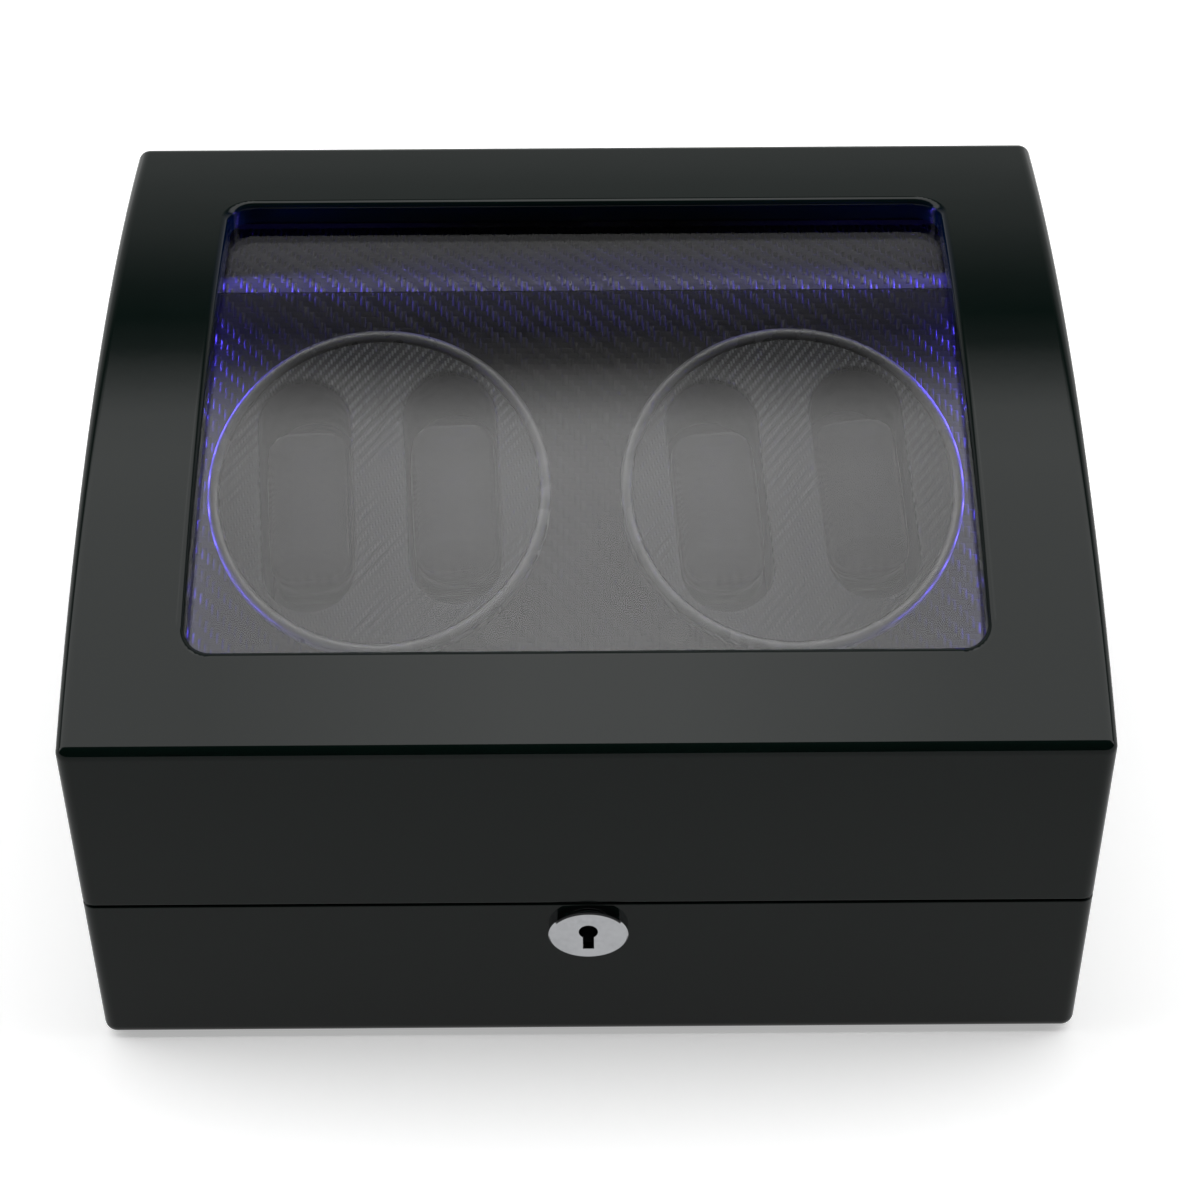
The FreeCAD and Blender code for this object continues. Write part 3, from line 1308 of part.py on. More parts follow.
def pillow_section(inset, height):
    """A rounded oblong, drawn in by an inset, at a height."""
    half = pocket_radius.value - d.pillow_clearance.value - inset
    reach = pillow_reach.value - inset
    radius = d.pillow_corner.value * half
    bulge = radius * (1 - math.sqrt(0.5))
    edges = []
    for turn in range(4):
        across, along = (half, reach) if turn % 2 == 0 else (reach, half)
        spots = [(across, radius - along), (across, along - radius), (across - bulge, along - bulge),
                 (across - radius, along)]
        quarter = FreeCAD.Rotation(FreeCAD.Vector(0, 0, 1), 90 * turn)
        side = [quarter.multVec(FreeCAD.Vector(x, y, height)) for x, y in spots]
        edges.append(Part.LineSegment(side[0], side[1]).toShape())
        edges.append(Part.Arc(side[1], side[2], side[3]).toShape())
    return Part.Wire(edges)


def pillow(name, x, turn, offset):
    """One pillow: a loft from its lower edge over drawn-in sides to the crown."""
    tall = d.pillow_height.value
    crown = d.pillow_crown.value
    straight = tall - crown
    levels = [
        (d.pillow_edge.value, 0.0),
        (0.0, straight / 5),
        (d.pillow_draw.value, straight / 2),
        (0.0, 4 * straight / 5),
        (d.pillow_shoulder.value, straight + crown / 3),
        (d.pillow_top.value, tall),
    ]
    thing = doc.addObject("Part::Feature", name)
    thing.Shape = Part.makeLoft([pillow_section(inset, height) for inset, height in levels], True, False)
    seat = pocket_floor + d.pillow_seat
    return place(thing, *on_deck(x, 0, seat), frame(turn=((0, 0, 1), turn)), frame(offset))


for side, sign, turn in sides:
    axis_x = sign * turntable_x
    node("turntable_drum_" + side, turntable_drum("turntable_drum_" + side, axis_x))
    node("turntable_face_" + side, turntable_face("turntable_face_" + side, axis_x, turn))
    node("spindle_" + side, spindle("spindle_" + side, axis_x))
    node("drive_gear_" + side, drive_gear("drive_gear_" + side, axis_x))
    node("motor_pinion_" + side, motor_pinion("motor_pinion_" + side, sign * motor_x))
    cups = []
    for place_name, away in (("outer", sign), ("inner", -sign)):
        offset = away * pocket_offset
        cups.append(pocket_cup("pocket_cup_%s_%s" % (side, place_name), axis_x, turn, offset))
        label = "watch_pillow_%s_%s" % (side, place_name)
        node(label, pillow(label, axis_x, turn, offset))
    node("pocket_cups_" + side, group("pocket_cups_" + side, cups))


# Chassis: steel plate on six posts under the deck, with bushes and motors

plate_half = cheek_inner - d.chassis_gap
plate_reach = d.chassis_length / 2
post_spread = plate_half - d.post_side_inset
post_reach = plate_reach - d.post_end_inset
post_spots = [(x, y * post_reach) for x in (-post_spread, 0.0, post_spread) for y in (-1, 1)]
post_length = -d.deck_thickness - chassis_top
post_frames = [[deck_frame, frame(x, y, chassis_foot, FACE_DOWN)] for x, y in post_spots]
chassis_grip = d.chassis_thickness + d.machine_screw_length


def machine_screw(name, frames, grip):
    return screw(name, frames, d.machine_screw_radius, d.machine_screw_head, d.machine_head_height, grip)


def machine_hole(name, frames, grip):
    return screw_hole(name, frames, d.machine_screw_radius, grip)


chassis_bores = [machine_hole("chassis_bore_%d" % index, spot, chassis_grip)
                 for index, spot in enumerate(post_frames)]
posts = []
for index, (x, y) in enumerate(post_spots):
    pillar = rod("post_blank_%d" % index, d.post_radius, post_length, (x, y, chassis_top),
                 frames=[deck_frame])
    posts.append(cut("post_%d" % index, pillar, [chassis_bores[index]]))
node("chassis_posts", group("chassis_posts", posts))
plate_screws = [machine_screw("chassis_screw_%d" % index, spot, chassis_grip)
                for index, spot in enumerate(post_frames)]

motor_grip = d.ear_thickness + d.chassis_thickness
ear_foot = chassis_foot - d.ear_thickness
motor_frames = [[deck_frame, frame(sign * motor_x, y * d.ear_spread, ear_foot, FACE_DOWN)]
                for sign in (-1, 1) for y in (-1, 1)]
motor_bores = [machine_hole("motor_bore_%d" % index, spot, motor_grip)
               for index, spot in enumerate(motor_frames)]
motor_screws = [machine_screw("motor_screw_%d" % index, spot, motor_grip)
                for index, spot in enumerate(motor_frames)]
node("chassis_screws", group("chassis_screws", plate_screws + motor_screws))

plate_blank = block("chassis_blank", (-plate_half, -plate_reach, chassis_foot),
                    (plate_half, plate_reach, chassis_top), deck_frame)
plate_tools = list(chassis_bores + motor_bores)
bushes = []
for side, sign, turn in sides:
    axis_x = sign * turntable_x
    seat = (axis_x, 0, bush_foot)
    flange = rod(side + "_bush_flange", d.hub_radius, d.bush_flange, (axis_x, 0, chassis_top),
                 frames=[deck_frame])
    sleeve = rod(side + "_bush_sleeve", d.bush_radius, d.bush_length, seat, frames=[deck_frame])
    bore = rod(side + "_bush_bore", d.spindle_radius + d.running_clearance,
               d.bush_length + d.bush_flange + 2 * overcut, (axis_x, 0, bush_foot - overcut),
               frames=[deck_frame])
    bushes.append(cut(side + "_bush", fuse(side + "_bush_blank", [flange, sleeve]), [bore]))
    through = d.chassis_thickness + 2 * overcut
    plate_tools.append(rod(side + "_bush_hole", d.bush_radius + d.spindle_grip, through,
                           (axis_x, 0, chassis_foot - overcut), frames=[deck_frame]))
    plate_tools.append(rod(side + "_shaft_hole", 2 * d.motor_shaft_radius, through,
                           (sign * motor_x, 0, chassis_foot - overcut), frames=[deck_frame]))
node("spindle_bushes", group("spindle_bushes", bushes))
node("chassis_plate", cut("chassis_plate", plate_blank, plate_tools))


def gear_motor(name, x, bores):
    """A synchronous gear motor: can, mounting ears and the bore for its shaft."""
    can = rod(name + "_can", d.motor_radius, d.motor_length, (x, 0, chassis_foot - d.motor_length),
              frames=[deck_frame])
    strap = block(name + "_strap", (x - d.ear_radius, -d.ear_spread, ear_foot),
                  (x + d.ear_radius, d.ear_spread, chassis_foot), deck_frame)
    ends = [rod("%s_ear_%d" % (name, index), d.ear_radius, d.ear_thickness, (x, y * d.ear_spread, ear_foot),
                frames=[deck_frame]) for index, y in enumerate((-1, 1))]
    bore = rod(name + "_bore", d.motor_shaft_radius + d.running_clearance, d.motor_shaft_depth + 2 * overcut,
               (x, 0, chassis_foot - d.motor_shaft_depth - overcut), frames=[deck_frame])
    return cut(name, fuse(name + "_blank", [can, strap] + ends), [bore] + bores)


node("gear_motor_left", gear_motor("gear_motor_left", -motor_x, motor_bores[:2]))
node("gear_motor_right", gear_motor("gear_motor_right", motor_x, motor_bores[2:]))


# Mode knobs and their rotary switches

def mode_knob(name, x):
    """A fluted knob with a dished cap and its stem."""
    body = new_body(name)
    sketch = new_sketch(body, name + "_profile", "XZ_Plane")
    top = d.knob_gap + d.knob_height
    dish = d.knob_radius - 2 * d.knob_flute
    outline(sketch, [(0, -d.knob_stem_depth), (d.knob_stem_radius, -d.knob_stem_depth),
                     (d.knob_stem_radius, d.knob_gap), (d.knob_radius, d.knob_gap), (d.knob_radius, top),
                     (dish, top), (dish, top - d.knob_flute), (0, top - d.knob_flute)])
    revolve(body, sketch)
    flute = new_sketch(body, name + "_flute", "XY_Plane")
    ring(flute, d.knob_radius + d.knob_flute, 0, 2 * d.knob_flute)
    groove = pocket(body, flute, 4 * (d.knob_gap + d.knob_height))
    pattern = body.newObject("PartDesign::PolarPattern", name + "_flutes")
    pattern.Originals = [groove]
    pattern.Axis = (flute, ["N_Axis"])
    pattern.Angle = 360
    bind(pattern, "Occurrences", d.knob_flutes)
    body.Tip = pattern
    doc.recompute()
    return place(body, *on_deck(x, -d.knob_drop))


switches = []
for side, sign, turn in sides:
    knob_x = sign * knob_spread
    node("mode_knob_" + side, mode_knob("mode_knob_" + side, knob_x))
    switch_foot = -d.deck_thickness - d.switch_depth
    can = rod(side + "_switch_can", d.switch_radius, d.switch_depth, (knob_x, -d.knob_drop, switch_foot),
              frames=[deck_frame])
    socket = rod(side + "_switch_bore", d.knob_stem_radius + d.running_clearance, d.switch_depth,
                 (knob_x, -d.knob_drop, -d.knob_stem_depth - d.knob_gap), frames=[deck_frame])
    switches.append(cut(side + "_switch", can, [socket]))
node("mode_switches", group("mode_switches", switches))


# Control board on four standoffs on the floor

board_low = floor_top + d.standoff_height
board_half = d.board_width / 2
board_reach = d.board_depth / 2
board_spots = [(x * (board_half - d.board_inset), d.board_place + y * (board_reach - d.board_inset))
               for x in (-1, 1) for y in (-1, 1)]
board_frames = [[frame(x, y, board_low + d.board_thickness)] for x, y in board_spots]
board_grip = d.board_thickness + d.standoff_height / 2
board_bores = [screw_hole("board_bore_%d" % index, spot, d.wood_screw_radius, board_grip)
               for index, spot in enumerate(board_frames)]
board_blank = block("board_blank", (-board_half, d.board_place - board_reach, board_low),
                    (board_half, d.board_place + board_reach, board_low + d.board_thickness))
node("control_board", cut("control_board", board_blank, board_bores))
node("board_screws", group("board_screws", [
    screw("board_screw_%d" % index, spot, d.wood_screw_radius, d.wood_screw_head, d.head_height, board_grip)
    for index, spot in enumerate(board_frames)]))
standoffs = []
for index, (x, y) in enumerate(board_spots):
    pillar = rod("standoff_blank_%d" % index, d.standoff_radius, d.standoff_height, (x, y, floor_top))
    standoffs.append(cut("standoff_%d" % index, pillar, [board_bores[index]]))
node("board_standoffs", group("board_standoffs", standoffs))


# Test every object, then write each sub-part

doc.recompute()
faults = []
for thing in doc.Objects:
    if "Invalid" in thing.State or "Error" in thing.State:
        faults.append("%s: %s" % (thing.Name, thing.State))
for label, thing in nodes:
    if thing.Shape.isNull() or not thing.Shape.isValid() or not thing.Shape.Solids:
        faults.append("%s: no valid solid" % label)
if faults:
    raise RuntimeError("; ".join(faults))

os.makedirs("parts", exist_ok=True)
for label, thing in nodes:
    thing.Shape.exportStep("parts/%s.step" % label)
print("%d sub-parts written" % len(nodes))
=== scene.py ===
# %% [markdown]
# # Dressing a watch winder box
#
# The construction of this box is finished: every board, hinge, gear and lamp arrives as a solid
# at its real size. This lesson gives the solids their finishes, sews the four pillows that lie in
# the turntables' pockets, and sets up a small product studio around the box.

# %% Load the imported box
import json
import math

import bpy
from mathutils import Matrix, Vector


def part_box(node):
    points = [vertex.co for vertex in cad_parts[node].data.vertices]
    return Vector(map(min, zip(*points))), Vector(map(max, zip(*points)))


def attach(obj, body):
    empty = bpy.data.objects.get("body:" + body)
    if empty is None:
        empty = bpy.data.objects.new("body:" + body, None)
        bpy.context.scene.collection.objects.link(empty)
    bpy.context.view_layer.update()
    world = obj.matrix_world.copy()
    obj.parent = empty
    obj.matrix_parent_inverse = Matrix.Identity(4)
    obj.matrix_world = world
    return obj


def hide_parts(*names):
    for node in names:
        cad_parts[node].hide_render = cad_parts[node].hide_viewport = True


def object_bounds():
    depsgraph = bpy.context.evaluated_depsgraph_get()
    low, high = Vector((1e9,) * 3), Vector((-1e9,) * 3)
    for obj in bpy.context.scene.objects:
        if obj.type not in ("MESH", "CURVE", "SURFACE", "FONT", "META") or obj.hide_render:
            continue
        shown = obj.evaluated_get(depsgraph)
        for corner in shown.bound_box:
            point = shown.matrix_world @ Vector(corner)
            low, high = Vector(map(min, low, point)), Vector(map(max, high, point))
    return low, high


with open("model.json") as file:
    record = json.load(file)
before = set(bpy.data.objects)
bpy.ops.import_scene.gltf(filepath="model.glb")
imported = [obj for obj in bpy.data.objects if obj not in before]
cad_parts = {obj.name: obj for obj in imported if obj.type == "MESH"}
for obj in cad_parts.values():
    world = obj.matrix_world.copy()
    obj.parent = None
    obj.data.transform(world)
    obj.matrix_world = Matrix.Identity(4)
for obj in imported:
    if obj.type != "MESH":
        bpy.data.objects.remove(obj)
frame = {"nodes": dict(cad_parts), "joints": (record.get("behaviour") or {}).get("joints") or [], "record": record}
nodes = frame["nodes"]
cad_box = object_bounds()
MM = 0.001
print("nodes:", len(nodes), "box:", [[round(side, 4) for side in corner] for corner in cad_box])

# %% [markdown]
# ## Where the sloping deck lies
#
# Many finishes follow the deck, which slopes up to the back. Its slope could be typed in again, but
# then it could drift from the solids. The turntables' own joints hold it: their axis is the deck's
# normal, and their pivots lie in its upper face.

# %% The deck's slope and the two turntable axes
joints = {joint["name"]: joint for joint in frame["joints"]}
axis_left = Vector(joints["turntable_left_spin"]["pos_m"])
axis_right = Vector(joints["turntable_right_spin"]["pos_m"])
deck_normal = Vector(joints["turntable_left_spin"]["axis"])
deck_origin = (axis_left + axis_right) / 2
slope = math.atan2(-deck_normal.y, deck_normal.z)
up_slope = deck_normal.cross(Vector((1, 0, 0)))
print("deck slope in degrees:", round(math.degrees(slope), 2))

# %% [markdown]
# ## Small helpers for shader nodes
#
# A material is a graph of nodes. Drawing it by hand takes a click for each node and link. In code,
# a few short helpers do the same: they fill an input, add a node, add a step of arithmetic, mix two
# colours, and start a material with its Principled shader.

# %% Node helpers
def plug(tree, socket, value):
    """Link an input to another node's output, or give it a plain value."""
    if isinstance(value, bpy.types.NodeSocket):
        tree.links.new(value, socket)
    else:
        socket.default_value = value


def add(tree, kind, inputs=None, **settings):
    """Add a shader node, set its options and fill its inputs by name or number."""
    node = tree.nodes.new("ShaderNode" + kind)
    for name, value in settings.items():
        setattr(node, name, value)
    for name, value in (inputs or {}).items():
        plug(tree, node.inputs[name], value)
    return node


def calc(tree, operation, *values):
    """One step of arithmetic, as an output."""
    return add(tree, "Math", dict(enumerate(values)), operation=operation).outputs[0]


def blend_colour(tree, factor, first, second):
    """A colour between two others."""
    mix = add(tree, "Mix", data_type="RGBA")
    plug(tree, mix.inputs[0], factor)
    plug(tree, mix.inputs[6], first)
    plug(tree, mix.inputs[7], second)
    return mix.outputs[2]


def new_material(name, plain=None):
    """A material with one Principled shader, its plain values set on the shader's own inputs."""
    material = bpy.data.materials.new(name)
    material.use_nodes = True
    tree = material.node_tree
    surface = tree.nodes["Principled BSDF"]
    for socket, value in (plain or {}).items():
        surface.inputs[socket].default_value = value
    return material, tree, surface.inputs


def grey(level, warmth=0.0):
    """A neutral colour, a little warmer or cooler."""
    return (level * (1 + warmth), level, level * (1 - warmth), 1.0)


print("helpers ready")

# %% [markdown]
# ## Effects that several finishes share
#
# Real surfaces are never quite even. Four effects come back all over the box: faint handling marks
# that change the gloss, a fine grain, brushed lines on metal, and the twill weave of the lining.
# Each could be copied into every material. As a node group it is built once, and each material
# places it with its own values.

# %% A helper for node groups
def new_group(name, inputs, outputs):
    """An empty shader group with named inputs and outputs."""
    group = bpy.data.node_groups.new(name, "ShaderNodeTree")
    for label, (kind, value) in inputs.items():
        socket = group.interface.new_socket(name=label, in_out="INPUT",
                                            socket_type="NodeSocket" + kind)
        if value is not None:
            socket.default_value = value
    for label in outputs:
        group.interface.new_socket(name=label, in_out="OUTPUT", socket_type="NodeSocketFloat")
    start = group.nodes.new("NodeGroupInput")
    end = group.nodes.new("NodeGroupOutput")
    return group, start.outputs, end.inputs


def use(tree, group, inputs):
    """Place a group in a material."""
    node = tree.nodes.new("ShaderNodeGroup")
    node.node_tree = group
    for name, value in inputs.items():
        plug(tree, node.inputs[name], value)
    return node.outputs


# %% Handling marks
MARKS_FAINT = 0.15
MARKS_FULL = 0.42
SMEARS_FINER = 7.0


def build_handling_marks():
    """Cloudy wipes and a few finer smears: an uneven roughness between two limits."""
    group, given, result = new_group(
        "handling_marks",
        {"Vector": ("Vector", None), "Scale": ("Float", 12.0), "Low": ("Float", 0.1),
         "High": ("Float", 0.2)},
        ["Roughness", "Mask"])
    clouds = add(group, "TexNoise", {"Vector": given["Vector"], "Scale": given["Scale"], "Detail": 3.0,
                                     "Distortion": 0.6})
    finer = calc(group, "MULTIPLY", given["Scale"], SMEARS_FINER)
    smears = add(group, "TexNoise", {"Vector": given["Vector"], "Scale": finer, "Detail": 5.0})
    both = calc(group, "MULTIPLY", clouds.outputs["Fac"], smears.outputs["Fac"])
    spread = add(group, "MapRange", {"Value": both, "From Min": MARKS_FAINT, "From Max": MARKS_FULL,
                                     "To Min": given["Low"], "To Max": given["High"]})
    mask = add(group, "MapRange", {"Value": both, "From Min": MARKS_FAINT, "From Max": MARKS_FULL})
    plug(group, result["Roughness"], spread.outputs["Result"])
    plug(group, result["Mask"], mask.outputs["Result"])
    return group


handling_marks = build_handling_marks()
print("group:", handling_marks.name)


# %% Fine grain
def build_fine_grain():
    """A pebbled relief of one grain size, and a tone that varies from grain to grain."""
    group, given, result = new_group(
        "fine_grain", {"Vector": ("Vector", None), "Size": ("Float", 0.0004)}, ["Height", "Tone"])
    scale = calc(group, "DIVIDE", 1.0, given["Size"])
    pebbles = add(group, "TexVoronoi", {"Vector": given["Vector"], "Scale": scale, "Randomness": 1.0})
    soft = add(group, "TexNoise", {"Vector": given["Vector"], "Scale": scale, "Detail": 4.0})
    relief = calc(group, "SUBTRACT", 1.0, pebbles.outputs["Distance"])
    plug(group, result["Height"], calc(group, "MULTIPLY", relief, soft.outputs["Fac"]))
    plug(group, result["Tone"], soft.outputs["Fac"])
    return group


fine_grain = build_fine_grain()
print("group:", fine_grain.name)


# %% Brushed lines
LINES_ALONG = 60.0
LINES_ACROSS = 4000.0


def build_brushed_lines():
    """Long fine scratches along X: noise that is stretched along one axis."""
    group, given, result = new_group(
        "brushed_lines", {"Vector": ("Vector", None), "Low": ("Float", 0.2), "High": ("Float", 0.35)},
        ["Height", "Roughness"])
    stretch = add(group, "Mapping", {"Vector": given["Vector"],
                                     "Scale": (LINES_ALONG, LINES_ACROSS, LINES_ACROSS)})
    lines = add(group, "TexNoise", {"Vector": stretch.outputs["Vector"], "Scale": 1.0, "Detail": 3.0})
    spread = add(group, "MapRange", {"Value": lines.outputs["Fac"], "From Min": 0.3, "From Max": 0.7,
                                     "To Min": given["Low"], "To Max": given["High"]})
    plug(group, result["Height"], lines.outputs["Fac"])
    plug(group, result["Roughness"], spread.outputs["Result"])
    return group


brushed_lines = build_brushed_lines()
print("group:", brushed_lines.name)

# %% [markdown]
# ## A twill weave from arithmetic
#
# The lining is a leatherette embossed like carbon cloth: flat yarns cross in a two-over, two-under
# twill, so its raised floats step sideways and draw diagonal lines. A photograph of cloth would do,
# but it tiles and has one scale. The weave is also a rule: count the yarns across and along, add the
# two counts, and the remainder by four says which yarn lies on top. Each float is a small round
# bulge, so lamps draw streaks across the yarns as they do on the real lining. The yarns that run
# across lie much lower than the others, and so the diagonals stand out.

# %% Twill weave
TWILL_REPEAT = 4.0
FLOAT_YARNS = 2.0
FLOAT_FULLNESS = 0.25
WEFT_LEVEL = 0.12


def build_twill_weave():
    """Relief of a 2/2 twill in the XY plane, which yarn is on top, and a tone for each yarn."""
    group, given, result = new_group(
        "twill_weave", {"Vector": ("Vector", None), "Yarn": ("Float", 0.002)},
        ["Height", "Warp", "Tone"])
    split = add(group, "SeparateXYZ", {"Vector": given["Vector"]})
    across = calc(group, "DIVIDE", split.outputs["X"], given["Yarn"])
    along = calc(group, "DIVIDE", split.outputs["Y"], given["Yarn"])
    column = calc(group, "FLOOR", across)
    line = calc(group, "FLOOR", along)
    in_column = calc(group, "FRACT", across)
    in_line = calc(group, "FRACT", along)
    step = calc(group, "FLOORED_MODULO", calc(group, "ADD", column, line), TWILL_REPEAT)
    warp = calc(group, "LESS_THAN", step, FLOAT_YARNS - 0.5)
    weft = calc(group, "SUBTRACT", 1.0, warp)

    def on_top(for_warp, for_weft):
        """The value of the yarn that lies on top."""
        upper = calc(group, "MULTIPLY", for_warp, warp)
        return calc(group, "ADD", upper, calc(group, "MULTIPLY", for_weft, weft))

    width = calc(group, "MULTIPLY_ADD", on_top(in_column, in_line), 2.0, -1.0)
    rounded = calc(group, "SUBTRACT", 1.0, calc(group, "MULTIPLY", width, width))
    float_place = on_top(calc(group, "ADD", step, in_line),
                         calc(group, "SUBTRACT", calc(group, "ADD", step, in_column), FLOAT_YARNS))
    arch = calc(group, "SINE", calc(group, "MULTIPLY", float_place, math.pi / FLOAT_YARNS))
    bulge = calc(group, "POWER", calc(group, "MAXIMUM", arch, 0.0), FLOAT_FULLNESS)
    level = on_top(1.0, WEFT_LEVEL)
    height = calc(group, "MULTIPLY", level, calc(group, "MULTIPLY", rounded, bulge))
    yarn_number = on_top(column, calc(group, "ADD", line, 0.5))
    tone = add(group, "TexWhiteNoise", {"W": yarn_number}, noise_dimensions="1D")
    plug(group, result["Height"], height)
    plug(group, result["Warp"], warp)
    plug(group, result["Tone"], tone.outputs["Value"])
    return group


twill_weave = build_twill_weave()
print("group:", twill_weave.name)

# %% [markdown]
# ## Piano lacquer
#
# The case is sprayed with many coats of black lacquer and polished. Almost all of its light is
# reflection, so its colour is nearly black and its gloss carries the look. A perfect mirror would
# look like plastic film: real lacquer has a very faint orange peel and wiped patches where it is a
# little less sharp.

# %% Black lacquer
LACQUER_CLEAN = (0.0006, 0.0042, 0.003, 1.0)
LACQUER_WIPED = (0.0012, 0.005, 0.0038, 1.0)
PEEL_SCALE = 260.0
PEEL_DEPTH = 0.02 * MM
PEEL_STRENGTH = 0.3


def here(tree):
    """Object coordinates: the place of a point on the box, in metres."""
    return add(tree, "TexCoord").outputs["Object"]


def bump(tree, height, distance, strength=1.0):
    """A relief that tilts the surface's normal."""
    node = add(tree, "Bump", {"Height": height, "Distance": distance, "Strength": strength})
    return node.outputs["Normal"]


def build_black_lacquer():
    material, tree, surface = new_material("black_lacquer", {"Specular IOR Level": 0.22})
    place = here(tree)
    marks = use(tree, handling_marks, {"Vector": place, "Scale": 7.0, "Low": 0.03, "High": 0.07})
    peel = add(tree, "TexNoise", {"Vector": place, "Scale": PEEL_SCALE, "Detail": 1.0})
    colour = blend_colour(tree, marks["Mask"], LACQUER_CLEAN, LACQUER_WIPED)
    plug(tree, surface["Base Color"], colour)
    plug(tree, surface["Roughness"], marks["Roughness"])
    plug(tree, surface["Normal"], bump(tree, peel.outputs["Fac"], PEEL_DEPTH, PEEL_STRENGTH))
    return material


black_lacquer = build_black_lacquer()
print("finish:", black_lacquer.name)

# %% [markdown]
# ## The clear pane
#
# The window is bent acrylic. Glass in a path tracer is honest but slow: light that should fall
# through it has to be found by chance. The usual help is a switch on Light Path: rays that look for
# lamps, and soft bounced light, pass straight through, while the eye still sees refraction and
# reflection. Acrylic's own index is 1.49. It is set lower here, because the softbox would otherwise
# veil the deck more than it does in the picture.

# %% Clear acrylic
PANE_INDEX = 1.36
PANE_TINT = (0.93, 0.94, 0.94, 1.0)


def build_clear_acrylic():
    material, tree, surface = new_material(
        "clear_acrylic", {"Base Color": grey(1.0), "Transmission Weight": 1.0, "IOR": PANE_INDEX})
    marks = use(tree, handling_marks, {"Vector": here(tree), "Scale": 16.0, "Low": 0.0, "High": 0.012})
    plug(tree, surface["Roughness"], marks["Roughness"])
    rays = add(tree, "LightPath").outputs
    passes = calc(tree, "MAXIMUM", rays["Is Shadow Ray"], rays["Is Diffuse Ray"])
    clear = add(tree, "BsdfTransparent", {"Color": PANE_TINT})
    mix = add(tree, "MixShader", {0: passes, 1: tree.nodes["Principled BSDF"].outputs["BSDF"],
                                  2: clear.outputs["BSDF"]})
    plug(tree, tree.nodes["Material Output"].inputs["Surface"], mix.outputs["Shader"])
    return material


clear_acrylic = build_clear_acrylic()
print("finish:", clear_acrylic.name)

# %% [markdown]
# ## The twill lining
#
# Deck, cheeks, rail and back panel are covered with the twill leatherette, and the turntables' faces
# with a finer one. The weave has to lie flat on each face. A UV map would do that by hand; here the
# faces that show are flat, so a Mapping node turns the object's coordinates until the face lies in
# their XY plane. The back panel's ledge is level, as the rail is, so the two share a lighter and
# glossier copy of the deck's finish: painted light on the level faces.

# %% Twill leatherette
# In each pair below: what the pattern adds, and the level that it starts from.
LINING_GRAIN = 0.35 * MM
TONE_SHADE = (0.5, 0.5)
# The yarns that lie lower are darkened as painted shade.
LOWER_YARN_PAINTED_SHADE = (0.85, 0.15)
GRAIN_SHADE = (0.8, 0.6)
GRAIN_RELIEF = 0.12
YARN_RELIEF = 0.2
WORN_ROUGHNESS = (-0.3, 0.5)


def flat_on(tree, turn, origin):
    """Coordinates turned so that a flat face lies in their XY plane, with the origin at a point."""
    shift = -(turn @ origin)
    mapping = add(tree, "Mapping", {"Vector": here(tree), "Location": shift,
                                    "Rotation": turn.to_euler("XYZ")})
    return mapping.outputs["Vector"]


def build_twill(name, turn, origin, yarn, dark, light, shine):
    """Twill on one flat face: pale, smooth yarn tops over rough grooves, which painted shade darkens, as it does
    the lower yarns.
    """
    material, tree, surface = new_material(name, {"Specular IOR Level": shine})
    face = flat_on(tree, turn, origin)
    weave = use(tree, twill_weave, {"Vector": face, "Yarn": yarn})
    grain = use(tree, fine_grain, {"Vector": face, "Size": LINING_GRAIN})
    # The colour follows the relief's height and the warp share: painted shade in the grooves and on the lower
    # yarns.
    shade = weave["Height"]
    for source, share in ((weave["Tone"], TONE_SHADE), (weave["Warp"], LOWER_YARN_PAINTED_SHADE),
                          (grain["Tone"], GRAIN_SHADE)):
        shade = calc(tree, "MULTIPLY", shade, calc(tree, "MULTIPLY_ADD", source, *share))
    relief = calc(tree, "MULTIPLY_ADD", grain["Height"], GRAIN_RELIEF, weave["Height"])
    raised = calc(tree, "MULTIPLY", weave["Height"], weave["Warp"])
    roughness = calc(tree, "MULTIPLY_ADD", raised, *WORN_ROUGHNESS)
    plug(tree, surface["Base Color"], blend_colour(tree, shade, dark, light))
    plug(tree, surface["Roughness"], roughness)
    plug(tree, surface["Normal"], bump(tree, relief, YARN_RELIEF * yarn))
    return material


DECK_YARN = 2.1 * MM
DECK_DARK = grey(0.001)
DECK_LIGHT = grey(0.006)
DECK_SHINE = 0.07
# The level rail and ledge get a lighter, glossier copy of the deck's leatherette: painted light on the level
# faces.
LIT_LEDGE_DARK = grey(0.004)
LIT_LEDGE_LIGHT = grey(0.016)
LIT_LEDGE_SHINE = 0.34
sideways = Matrix(((0, 1, 0), (0, 0, 1), (1, 0, 0)))
on_slope = Matrix.Rotation(-slope, 3, "X")
level = Matrix.Identity(3)
centre = Vector((0, 0, 0))
deck_twill = build_twill("deck_twill", on_slope, deck_origin, DECK_YARN, DECK_DARK, DECK_LIGHT,
                         DECK_SHINE)
lit_rail_twill = build_twill("lit_rail_twill", level, centre, DECK_YARN, LIT_LEDGE_DARK, LIT_LEDGE_LIGHT, LIT_LEDGE_SHINE)
cheek_twill = build_twill("cheek_twill", sideways, centre, DECK_YARN, DECK_DARK, DECK_LIGHT, DECK_SHINE)
print("finish:", deck_twill.name, lit_rail_twill.name, cheek_twill.name)

# %% [markdown]
# ## Turntable faces and rims
#
# A turntable's weave turns with it, so it is laid out from its own axis and rest angle. It is turned
# over as well, because its diagonals lean the other way from those of the deck. The rim round the face
# is moulded in satin grey, and the deep cups under it are plain black plastic.

